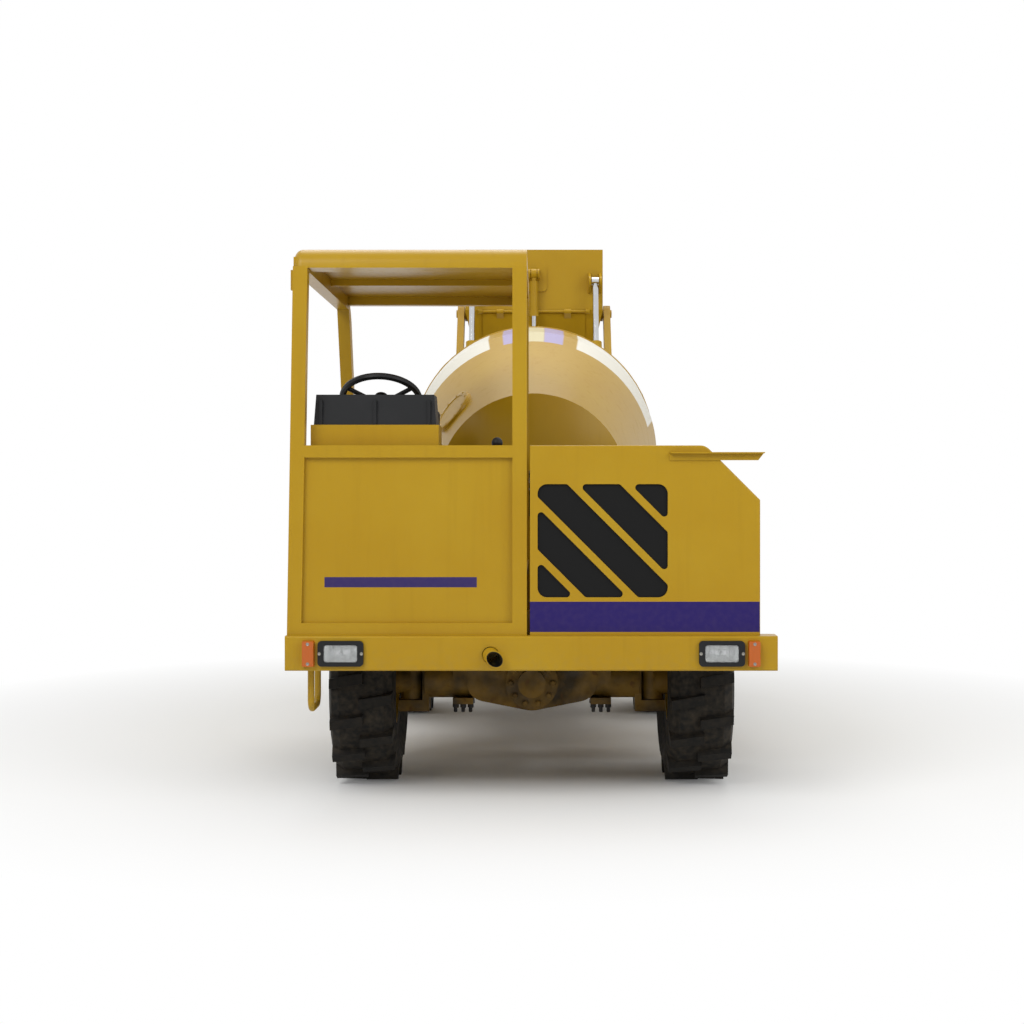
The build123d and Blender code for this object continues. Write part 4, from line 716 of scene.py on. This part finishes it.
# wheel nuts on the dished discs, and the ring of cap screws on each planetary hub
wheelSettings = {
    "WheelNuts": {
        "model": stud, "count": 8, "ring": 0.138, "reach": 0.052, "slot": "bright_steel", "paint": zincBolt
    },
    "HubScrews": {
        "model": bolt, "count": 6, "ring": 0.070, "reach": 0.112, "slot": "yellow_paint", "paint": yellowEnamel
    },
}
for corner in place["corners"]:
    low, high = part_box(corner + "_tyre")
    middle = (low + high) / 2
    outward = Vector((-1.0 if middle.x < 0 else 1.0, 0, 0))
    wheelName = corner.replace("_l", "L").replace("_r", "R")
    for kind, settings in wheelSettings.items():
        spots = []
        for i in range(settings["count"]):
            turn = 2 * math.pi * (i + 0.5) / settings["count"]
            ring = Vector((0, settings["ring"] * math.cos(turn), settings["ring"] * math.sin(turn)))
            spots.append(standAt(middle + outward * settings["reach"] + ring, outward))
        setOut(settings["model"], wheelName + kind, spots, corner + "_wheel", settings["paint"])
print("wheel nuts set")

# axle hardware: studs hanging from the clamp plates, and the bolt ring round each differential cover
axleHardware = {
    "clampX": (0.303, 0.340, 0.377),
    "clampY": 0.078,
    "clampZ": 0.380,
    "coverRing": 0.103,
    "coverBolts": 10,
    "coverReach": 0.150,
}
clampSpots, coverSpots = [], []
for y, front in zip(axleY, (-1, 1)):
    for side in (-1, 1):
        for x in axleHardware["clampX"]:
            for along in (-1, 1):
                spot = (side * x, y + along * axleHardware["clampY"], axleHardware["clampZ"])
                clampSpots.append(standAt(spot, (0, 0, -1)))
    for i in range(axleHardware["coverBolts"]):
        turn = 2 * math.pi * i / axleHardware["coverBolts"]
        across, rise = axleHardware["coverRing"] * math.cos(turn), axleHardware["coverRing"] * math.sin(turn)
        spot = (across, y + front * axleHardware["coverReach"], place["axleZ"] + rise)
        coverSpots.append(standAt(spot, (0, front, 0)))
setOut(stud, "axleClampStuds", clampSpots, "chassis", casting)
setOut(bolt, "axleCoverBolts", coverSpots, "chassis", shadedGrimyAxleCasting)
print("axle hardware set")

# drum manhole: a round cover with a raised rim, bolted to the rear cone on its left shoulder
manhole = {
    "along": 0.307,
    "fromTop": math.radians(-50.0),
    "radius": 0.138,
    "height": 0.014,
    "depth": 0.050,
    "edge": 0.003,
    "rim": 0.026,
    "dish": 0.004,
    "bolts": 10,
    "boltRing": 0.121,
}
slope = (place["bellyRadius"] - place["headRadius"]) / place["bellyFrom"]
around = math.sin(manhole["fromTop"]) * Vector((1, 0, 0)) + math.cos(manhole["fromTop"]) * drumUp
coverFace = (around - slope * drumAxis).normalized()
coneRadius = place["headRadius"] + slope * manhole["along"]
coverSpot = place["drumHead"] + drumAxis * manhole["along"] + around * coneRadius
cover = startCylinder(48, manhole["radius"], manhole["depth"], manhole["height"] - manhole["depth"])
chooseFaces(cover, facingUp)
bpy.ops.mesh.bevel(offset=manhole["edge"], segments=2)
chooseFaces(cover, levelTop)
bpy.ops.mesh.inset(thickness=manhole["rim"])
bpy.ops.mesh.inset(thickness=manhole["dish"], depth=-manhole["dish"])
clearChoice()
cover.matrix_world = standAt(coverSpot, coverFace) @ cover.matrix_world
finishPiece(cover, "drumManholeCover", "drum", yellowEnamel)
across = coverFace.orthogonal().normalized()
spots = []
for i in range(manhole["bolts"]):
    turned = Matrix.Rotation(2 * math.pi * i / manhole["bolts"], 3, coverFace) @ across
    spots.append(standAt(coverSpot + turned * manhole["boltRing"] + coverFace * manhole["height"], coverFace))
setOut(screw, "drumManholeBolts", spots, "drum", yellowEnamel)

# weld bead where the drum's mouth cone meets its belly, uneven as a hand-run bead is
weldBead = {"size": 0.006, "ripple": 0.0016, "steps": 180, "sides": 8, "seed": 4}
bead = startPiece(
    bpy.ops.mesh.primitive_torus_add,
    major_segments=weldBead["steps"],
    minor_segments=weldBead["sides"],
    major_radius=place["bellyRadius"],
    minor_radius=weldBead["size"],
)
bpy.ops.object.mode_set(mode="EDIT")
bpy.ops.mesh.select_all(action="SELECT")
bpy.ops.transform.vertex_random(offset=weldBead["ripple"], seed=weldBead["seed"])
clearChoice()
bead.matrix_world = standAt(place["drumHead"] + drumAxis * place["bellyTo"], drumAxis)
finishPiece(bead, "drumWeldBeads", "drum", yellowEnamel, 60.0)
print("drum fittings set")

# headlamps: plated bowl and bulb behind each lens, two screws in each bezel, and two in each turn lamp
headlamp = {
    "x": 0.850,
    "z": 0.707,
    "mouth": (0.146, 0.072),
    "frontY": -2.7655,
    "backY": -2.7060,
    "narrow": 0.42,  # share of the mouth left at the back
    "step": 0.006,
    "round": 0.011,
    "wall": 0.001,
    "bulb": 0.011,
    "bulbReach": 0.027,
    "bulbFoot": 0.006,
    "bulbNeck": 0.013,
    "neckShare": 0.8,
    "screwX": 0.094,
    "screwY": -2.7785,
    "turnScrewIn": 0.028,  # from the turn lamp's outer side
    "turnScrewY": 0.0005,
    "turnScrewRise": 0.044,
}
bowls, bulbs, screwSpots = [], [], []
bowlDepth, bowlY = headlamp["backY"] - headlamp["frontY"], (headlamp["backY"] + headlamp["frontY"]) / 2
turnLow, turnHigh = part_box("turn_lamps")
for side in (-1, 1):
    lampX = side * headlamp["x"]
    bowl = startBox((headlamp["mouth"][0], bowlDepth, headlamp["mouth"][1]), (lampX, bowlY, headlamp["z"]))
    chooseFaces(bowl, lambda centre, normal: normal.y > 0.9)
    bpy.ops.transform.resize(value=(headlamp["narrow"], 1.0, headlamp["narrow"]))
    bpy.ops.mesh.inset(thickness=headlamp["step"])
    bpy.ops.transform.translate(value=(0, -headlamp["step"], 0))
    chooseFaces(bowl, lambda centre, normal: normal.y < -0.9)
    bpy.ops.mesh.delete(type="FACE")
    chooseEdges(bowl, lambda a, b: abs(a.y - b.y) > 0.02)
    bpy.ops.mesh.bevel(offset=headlamp["round"], segments=4)
    bpy.ops.mesh.select_all(action="SELECT")
    bpy.ops.mesh.normals_make_consistent(inside=False)
    clearChoice()
    applyModifier(bowl, "SOLIDIFY", thickness=headlamp["wall"], offset=1.0)
    bowls.append(bowl)
    bulbSpot = (lampX, headlamp["backY"] - headlamp["bulbReach"], headlamp["z"])
    bulb = startPiece(
        bpy.ops.mesh.primitive_uv_sphere_add, segments=16, ring_count=10, radius=headlamp["bulb"], location=bulbSpot
    )
    chooseFaces(bulb, lambda centre, normal: centre.y > headlamp["bulbFoot"])
    drawOut((0, headlamp["bulbNeck"], 0), (headlamp["neckShare"], 1.0, headlamp["neckShare"]))
    bulbs.append(bulb)
    for end in (-1, 1):
        screwSpots.append(standAt((lampX + end * headlamp["screwX"], headlamp["screwY"], headlamp["z"]), (0, -1, 0)))
        turnX, turnY = side * (turnHigh.x - headlamp["turnScrewIn"]), turnLow.y + headlamp["turnScrewY"]
        screwSpots.append(standAt((turnX, turnY, headlamp["z"] + end * headlamp["turnScrewRise"]), (0, -1, 0)))
finishPiece(joinPieces(bowls), "headlampBowls", "chassis", platedBowl)
finishPiece(joinPieces(bulbs), "headlampBulbs", "chassis", clearLens)
setOut(screw, "lampScrews", screwSpots, "chassis", zincBolt)
print("lamps fitted")

# gear lever: a rod tapering to a round black knob, standing in a rubber gaiter beside the console
lever = {
    "foot": Vector((-0.175, -2.44, 1.060)),
    "top": Vector((-0.160, -2.47, 1.655)),
    "rod": 0.009,
    "taper": 0.7,
    "knob": 0.026,
    "collarZ": -0.016,  # the knob's faces below this are drawn down to a collar
    "collar": 0.014,
    "collarShare": 0.85,
    "gaiterFoot": 0.055,
    "gaiterTop": 0.014,
    "gaiterHeight": 0.110,
    "folds": 5,
    "foldOut": 1.28,
}
reach = lever["top"] - lever["foot"]
leverRod = startCylinder(16, lever["rod"], reach.length, -reach.length / 2)
chooseFaces(leverRod, facingUp)
bpy.ops.transform.resize(value=(lever["taper"], lever["taper"], 1.0))
clearChoice()
leverRod.matrix_world = standAt((lever["top"] + lever["foot"]) / 2, reach)
finishPiece(leverRod, "gearLeverRod", "chassis", casting)
knob = startPiece(
    bpy.ops.mesh.primitive_uv_sphere_add, segments=24, ring_count=16, radius=lever["knob"], location=lever["top"]
)
chooseFaces(knob, lambda centre, normal: centre.z < lever["collarZ"])
drawOut((0, 0, -lever["collar"]), (lever["collarShare"], lever["collarShare"], 1.0))
finishPiece(knob, "gearLeverKnob", "chassis", grainedAbs, 50.0)
halfGaiter, creases = lever["gaiterHeight"] / 2, lever["folds"] * 2
gaiterSpot = lever["foot"] + Vector((0, 0, halfGaiter))
gaiter = startPiece(
    bpy.ops.mesh.primitive_cone_add,
    vertices=28,
    radius1=lever["gaiterFoot"],
    radius2=lever["gaiterTop"],
    depth=lever["gaiterHeight"],
    location=gaiterSpot,
)
chooseEdges(gaiter, lambda a, b: abs(a.z - b.z) > halfGaiter * 0.9)
bpy.ops.mesh.subdivide(number_cuts=creases - 1)
clearChoice()
for point in gaiter.data.vertices:  # every other ring stands out as a fold
    ring = round((point.co.z + halfGaiter) / lever["gaiterHeight"] * creases)
    if ring % 2 and 0 < ring < creases:
        point.co.x *= lever["foldOut"]
        point.co.y *= lever["foldOut"]
finishPiece(gaiter, "gearLeverGaiter", "chassis", treadRubber, 60.0)
print("lever set")

# instruments on the driver's side of the cowl: three dials in bright bezels and a row of rocker switches
dash = {
    "dials": (-0.845, -0.710, -0.575),
    "z": 1.805,
    "footZ": 1.732,
    "lean": math.radians(4.0),
    "radius": 0.043,
    "bezel": 0.006,
    "depth": 0.014,
    "edge": 0.003,
    "well": 0.005,
    "faceGap": 0.0035,
    "faceSunk": 0.0045,
    "faceHeight": 0.001,
    "faceRim": (0.004, 0.0004),
    "mark": (0.0018, 0.0060, 0.0008),
    "markPoint": 0.6,
    "marks": 8,  # round three quarters of the dial
    "markFrom": 120,
    "markStep": 34,
    "markIn": 0.016,
    "markSunk": 0.0035,
    "needleFrom": 70,
    "needleStep": 45,
    "needleOut": 0.010,
    "needleSunk": 0.0030,
    "needleLength": 4.0,
    "rocker": (0.022, 0.014, 0.014),
    "rockerRim": 0.003,
    "rockerRise": 0.005,
    "rockerShare": (0.8, 0.7, 1.0),
    "switchZ": 1.748,
    "switchSunk": 0.001,
    "switchX": (-0.88, -0.84, -0.80, -0.62, -0.58, -0.54),
}
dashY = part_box("console_cowl")[1][1]
dialY = dashY - (dash["z"] - dash["footZ"]) * math.tan(dash["lean"])
dashFace = Vector((0, math.cos(dash["lean"]), math.sin(dash["lean"])))
halfDial = dash["depth"] / 2
rim = startCylinder(40, dash["radius"], dash["depth"], -halfDial)
chooseFaces(rim, facingUp)
bpy.ops.mesh.bevel(offset=dash["edge"], segments=3)
chooseFaces(rim, levelTop)
bpy.ops.mesh.inset(thickness=dash["bezel"])
bpy.ops.mesh.extrude_region_move(TRANSFORM_OT_translate={"value": (0, 0, -dash["well"])})
dialFace = startCylinder(
    40, dash["radius"] - dash["bezel"] - dash["faceGap"], dash["faceHeight"], -dash["faceHeight"] / 2
)
chooseFaces(dialFace, facingUp)
bpy.ops.mesh.inset(thickness=dash["faceRim"][0], depth=dash["faceRim"][1])
mark = startBox(dash["mark"], (0, 0, 0))
chooseFaces(mark, lambda centre, normal: normal.y > 0.9)
bpy.ops.transform.resize(value=(dash["markPoint"], 1.0, 1.0))
rocker = startBox(dash["rocker"], (0, 0, 0))
chooseFaces(rocker, facingUp)
bpy.ops.mesh.inset(thickness=dash["rockerRim"])
drawOut((0, 0, dash["rockerRise"]), dash["rockerShare"])
clearChoice()
dialStands = [standAt((x, dialY, dash["z"]), dashFace) for x in dash["dials"]]
markLift = Matrix.Translation((0, dash["radius"] - dash["markIn"], halfDial - dash["markSunk"]))
needleLift = Matrix.Translation(
    (0, dash["needleOut"], halfDial - dash["needleSunk"])
) @ Matrix.Diagonal((1.0, dash["needleLength"], 1.0, 1.0))
markStands = []
for i, stand in enumerate(dialStands):
    for tick in range(dash["marks"]):
        markTurn = Matrix.Rotation(math.radians(dash["markFrom"] - tick * dash["markStep"]), 4, "Z")
        markStands.append(stand @ markTurn @ markLift)
    needleTurn = Matrix.Rotation(math.radians(dash["needleFrom"] - i * dash["needleStep"]), 4, "Z")
    markStands.append(stand @ needleTurn @ needleLift)
faceStands = [stand @ Matrix.Translation((0, 0, halfDial - dash["faceSunk"])) for stand in dialStands]
switchStands = [standAt((x, dashY - dash["switchSunk"], dash["switchZ"]), (0, 1, 0)) for x in dash["switchX"]]
setOut(rim, "dialBezels", dialStands, "chassis", hardChrome)
setOut(dialFace, "dialFaces", faceStands, "chassis", grainedAbs)
setOut(mark, "dialMarks", markStands, "chassis", platedBowl)
setOut(rocker, "rockerSwitches", switchStands, "chassis", grainedAbs)
print("instruments set")

# pressed louvres in the hood's right side, with their mouths turned down
louvre = {
    "size": (0.150, 0.026, 0.011),  # length, height, stand-out
    "sunk": 0.001,
    "closed": 0.92,  # how far the upper edge is pressed back to the plate
    "narrow": 0.86,
    "round": 0.004,
    "rows": 7,
    "pitch": 0.052,
    "fromZ": 1.10,
    "columns": (-2.36, -2.16, -1.82, -1.62),
}
standOut = louvre["size"][2]
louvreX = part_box("hood_panels")[1][0] - louvre["sunk"] + standOut / 2
slat = startBox(louvre["size"], (0, 0, 0))
chooseEdges(slat, lambda a, b: a.z > 0 and b.z > 0 and a.y > 0 and b.y > 0)
bpy.ops.transform.translate(value=(0, 0, -standOut * louvre["closed"]))
chooseEdges(slat, lambda a, b: a.z > 0 and b.z > 0 and abs(a.x - b.x) > 0.01)
bpy.ops.transform.resize(value=(louvre["narrow"], 1.0, 1.0))
bpy.ops.mesh.bevel(offset=louvre["round"], segments=2)
clearChoice()
louvreStands = []
for y in louvre["columns"]:
    for row in range(louvre["rows"]):
        louvreStands.append(standAt((louvreX, y, louvre["fromZ"] + row * louvre["pitch"]), (1, 0, 0)))
setOut(slat, "hoodLouvres", louvreStands, "chassis", yellowEnamel)
print("louvres set")

# straps round the water tank, following its rounded corners; the tank's box also holds its filler and brackets
strap = {
    "width": 0.045, "thickness": 0.003, "corner": 0.060, "along": (0.2, 0.8), "tankLeft": 0.472, "tankTop": 1.050
}
tankLow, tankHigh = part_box("water_tank")
strapSize = (tankHigh.x - strap["tankLeft"], strap["width"], strap["tankTop"] - tankLow.z)
straps = []
for share in strap["along"]:
    y = tankLow.y + share * (tankHigh.y - tankLow.y)
    loop = startBox(strapSize, ((strap["tankLeft"] + tankHigh.x) / 2, y, (tankLow.z + strap["tankTop"]) / 2))
    chooseFaces(loop, lambda centre, normal: abs(normal.y) > 0.9)
    bpy.ops.mesh.delete(type="FACE")
    chooseEdges(loop, lambda a, b: abs(a.y - b.y) > 0.01)
    bpy.ops.mesh.bevel(offset=strap["corner"], segments=6)
    clearChoice()
    applyModifier(loop, "SOLIDIFY", thickness=strap["thickness"], offset=1.0)
    straps.append(loop)
finishPiece(joinPieces(straps), "waterTankStraps", "chassis", casting)
print("tank straps set")

# horn button: a low dome on the steering wheel's hub, turning with it
hornButton = {"radius": 0.032, "flat": 0.45, "offset": 0.012, "skirt": 0.006, "skirtShare": 1.1}
spin = next(joint for joint in frame["joints"] if joint["name"] == "steering_wheel_spin")
spinAxis = Vector(spin["axis"]).normalized()
horn = startPiece(bpy.ops.mesh.primitive_uv_sphere_add, segments=28, ring_count=14, radius=hornButton["radius"])
bpy.ops.object.mode_set(mode="EDIT")
bpy.ops.mesh.select_all(action="SELECT")
bpy.ops.mesh.bisect(plane_co=(0, 0, 0), plane_no=(0, 0, 1), use_fill=True, clear_inner=True)
bpy.ops.mesh.select_all(action="SELECT")
bpy.ops.transform.resize(value=(1.0, 1.0, hornButton["flat"]), center_override=(0, 0, 0))
chooseFaces(horn, lambda centre, normal: normal.z < -0.9)
drawOut((0, 0, -hornButton["skirt"]), (hornButton["skirtShare"], hornButton["skirtShare"], 1.0))
clearChoice()
horn.matrix_world = standAt(Vector(spin["pos_m"]) + spinAxis * hornButton["offset"], spinAxis)
finishPiece(horn, "hornButton", "steering_wheel", grainedAbs, 50.0)
print("horn button set")

# driver's seat: stuffed cushion and back in place of the plain solids, with sewn channels after the stuffing
padSettings = {
    "start": 0.965,  # share of the solid's size before the stuffing
    "merge": 0.00002,
    "voxel": 0.009,
    "quality": 4,
    "pressure": 4.0,
    "steps": 20,
    "cap": 0.014,  # the furthest that stuffing moves a point
    "channels": (-0.085, 0.085),
    "channelDepth": 0.008,
    "channelWidth": 0.011,
    "roomLow": (-0.006, -0.008, 0.0005),  # how far the pad may stand past its solid's box
    "roomHigh": (0.006, 0.006, 0.010),
    "underBack": 0.010,
    "underBackSunk": 0.001,
    "fill": 0.7,
}
seatSettings = {
    "seat_cushion": {**padSettings, "name": "seatCushion", "faces": Vector((0, 0, 1))},
    "seat_back": {**padSettings, "name": "seatBackrest", "faces": Vector((0, -1, 0))},
}


def stuffPad(nodeName, settings):
    low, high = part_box(nodeName)
    middle = (low + high) / 2
    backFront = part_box("seat_back")[0].y - settings["underBack"]
    clearChoice()
    pad = bpy.data.objects.new(settings["name"], nodes[nodeName].data.copy())
    bpy.context.scene.collection.objects.link(pad)
    pad.select_set(True)
    bpy.context.view_layer.objects.active = pad
    bpy.ops.object.mode_set(mode="EDIT")
    bpy.ops.mesh.select_all(action="SELECT")
    bpy.ops.mesh.remove_doubles(threshold=settings["merge"])
    bpy.ops.mesh.normals_make_consistent(inside=False)
    bpy.ops.transform.resize(value=(settings["start"],) * 3, center_override=middle)
    bpy.ops.object.mode_set(mode="OBJECT")
    pad.data.remesh_voxel_size = settings["voxel"]
    bpy.ops.object.voxel_remesh()
    rest = [point.co.copy() for point in pad.data.vertices]
    stuffing = pad.modifiers.new("stuffing", "CLOTH")
    stuffing.settings.quality = settings["quality"]
    stuffing.settings.use_pressure = True
    stuffing.settings.uniform_pressure_force = settings["pressure"]
    stuffing.settings.effector_weights.gravity = 0.0
    for step in range(1, settings["steps"] + 1):
        bpy.context.scene.frame_set(step)
    bpy.ops.object.modifier_apply(modifier=stuffing.name)
    bpy.context.scene.frame_set(1)
    for point, start in zip(pad.data.vertices, rest):
        moved = point.co - start
        if moved.length > settings["cap"]:
            point.co = start + moved * (settings["cap"] / moved.length)
    # sewn channels run up the sitting face, and the pad stays in the room that its solid holds
    for point in pad.data.vertices:
        if point.normal.dot(settings["faces"]) > 0.6:
            for across in settings["channels"]:
                off = (point.co.x - middle.x - across) / settings["channelWidth"]
                point.co -= settings["faces"] * settings["channelDepth"] * math.exp(-off * off)
        for i in range(3):
            least, most = low[i] + settings["roomLow"][i], high[i] + settings["roomHigh"][i]
            point.co[i] = min(max(point.co[i], least), most)
        if nodeName == "seat_cushion" and point.co.y > backFront:
            point.co.z = min(point.co.z, high.z - settings["underBackSunk"])
    pad.data.update()
    applyModifier(pad, "SUBSURF", levels=1, render_levels=1)
    finishPiece(pad, settings["name"], "chassis", seatVinyl, 60.0)
    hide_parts(nodeName)


for nodeName, settings in seatSettings.items():
    stuffPad(nodeName, settings)
print("seat padded")

for model in (bolt, stud, screw, rim, dialFace, mark, rocker, slat):
    bpy.data.objects.remove(model)

# camera where the photograph was taken: level, a little right of the middle, upright lines kept upright by shift
camera = {
    "x": 0.03,
    "height": 1.45,
    "distance": 7.2,
    "focalPixels": 1614.0,
    "vanish": (538.0, 487.0),  # in pixels from the picture's upper left corner
    "pixels": 1024,
    "sensor": 36.0,  # mm
    "sees": 200.0,
}
cameraData = bpy.data.cameras.new("photoCamera")
cameraObject = bpy.data.objects.new("photoCamera", cameraData)
bpy.context.scene.collection.objects.link(cameraObject)
cameraObject.location = (camera["x"], place["bumperY"] - camera["distance"], camera["height"])
cameraObject.rotation_euler = (math.radians(90), 0, 0)
cameraData.sensor_width = camera["sensor"]
cameraData.lens = camera["focalPixels"] / camera["pixels"] * camera["sensor"]
cameraData.shift_x = 0.5 - camera["vanish"][0] / camera["pixels"]
cameraData.shift_y = camera["vanish"][1] / camera["pixels"] - 0.5
cameraData.clip_end = camera["sees"]
bpy.context.scene.camera = cameraObject


def whereSeen(tree):
    # 1 for the rays that look at the surround, 0 for those that only light the machine
    path = addNode(tree, "LightPath", {})
    rays = {0: path.outputs["Is Camera Ray"], 1: path.outputs["Is Glossy Ray"]}
    mirrored = addNode(tree, "Math", rays, operation="MAXIMUM")
    return addNode(tree, "Math", {0: mirrored, 1: path.outputs["Is Transmission Ray"]}, operation="MAXIMUM")


# pale floor that keeps the shadow and runs out to plain white
floorSettings = {"size": 120.0, "colour": "#F0F0EE", "plainTo": 1.9, "whiteFrom": 4.4}
floor = startPiece(bpy.ops.mesh.primitive_plane_add, size=floorSettings["size"], location=(0, 0, 0))
floor.name = "studioFloor"
floorMaterial, floorTree, floorShader, floorCoords = newMaterial(
    "paleFloor", {"Roughness": 0.9, "Base Color": fromHex(floorSettings["colour"])}
)
floor.data.materials.append(floorMaterial)
seen = whereSeen(floorTree)
outward = addNode(floorTree, "VectorMath", {0: floorCoords}, operation="LENGTH")
far = addNode(
    floorTree,
    "MapRange",
    {"Value": outward, "From Min": floorSettings["plainTo"], "From Max": floorSettings["whiteFrom"]},
)
plain = addNode(floorTree, "Math", {0: far, 1: seen}, operation="MULTIPLY")
glow = addNode(floorTree, "Emission", {"Color": (1.0, 1.0, 1.0, 1.0), "Strength": 1.0})
mixed = addNode(floorTree, "MixShader", {0: plain, 1: floorShader, 2: glow})
plugIn(floorTree, floorTree.nodes["Material Output"], {"Surface": mixed})

# even sky light, plain white where it is seen
skySettings = {"light": 0.40, "seen": 1.0}
world = bpy.data.worlds.new("studioSky")
bpy.context.scene.world = world
world.use_nodes = True
sky = world.node_tree
skyBack = sky.nodes["Background"]
seen = whereSeen(sky)
strength = addNode(sky, "MapRange", {"Value": seen, "To Min": skySettings["light"], "To Max": skySettings["seen"]})
plugIn(sky, skyBack, {"Color": (1.0, 1.0, 1.0, 1.0), "Strength": strength})

lamps = [  # name, place, aimed at, size, watts
    ("keyLamp", (-4.5, -9.0, 7.5), (0.0, -1.0, 1.2), 5.0, 460.0),
    ("fillLamp", (6.0, -7.0, 5.0), (0.0, -1.0, 1.2), 5.0, 230.0),
    ("topLamp", (0.0, 1.5, 8.0), (0.0, 0.5, 1.0), 6.0, 290.0),
]
for lampName, spot, aim, size, watts in lamps:
    lampData = bpy.data.lights.new(lampName, "AREA")
    lampData.size = size
    lampData.energy = watts
    lamp = bpy.data.objects.new(lampName, lampData)
    lamp.location = spot
    lamp.rotation_euler = (Vector(aim) - Vector(spot)).to_track_quat("-Z", "Y").to_euler()
    bpy.context.scene.collection.objects.link(lamp)
bpy.context.scene.view_settings.view_transform = "Standard"
print("camera and lights set")
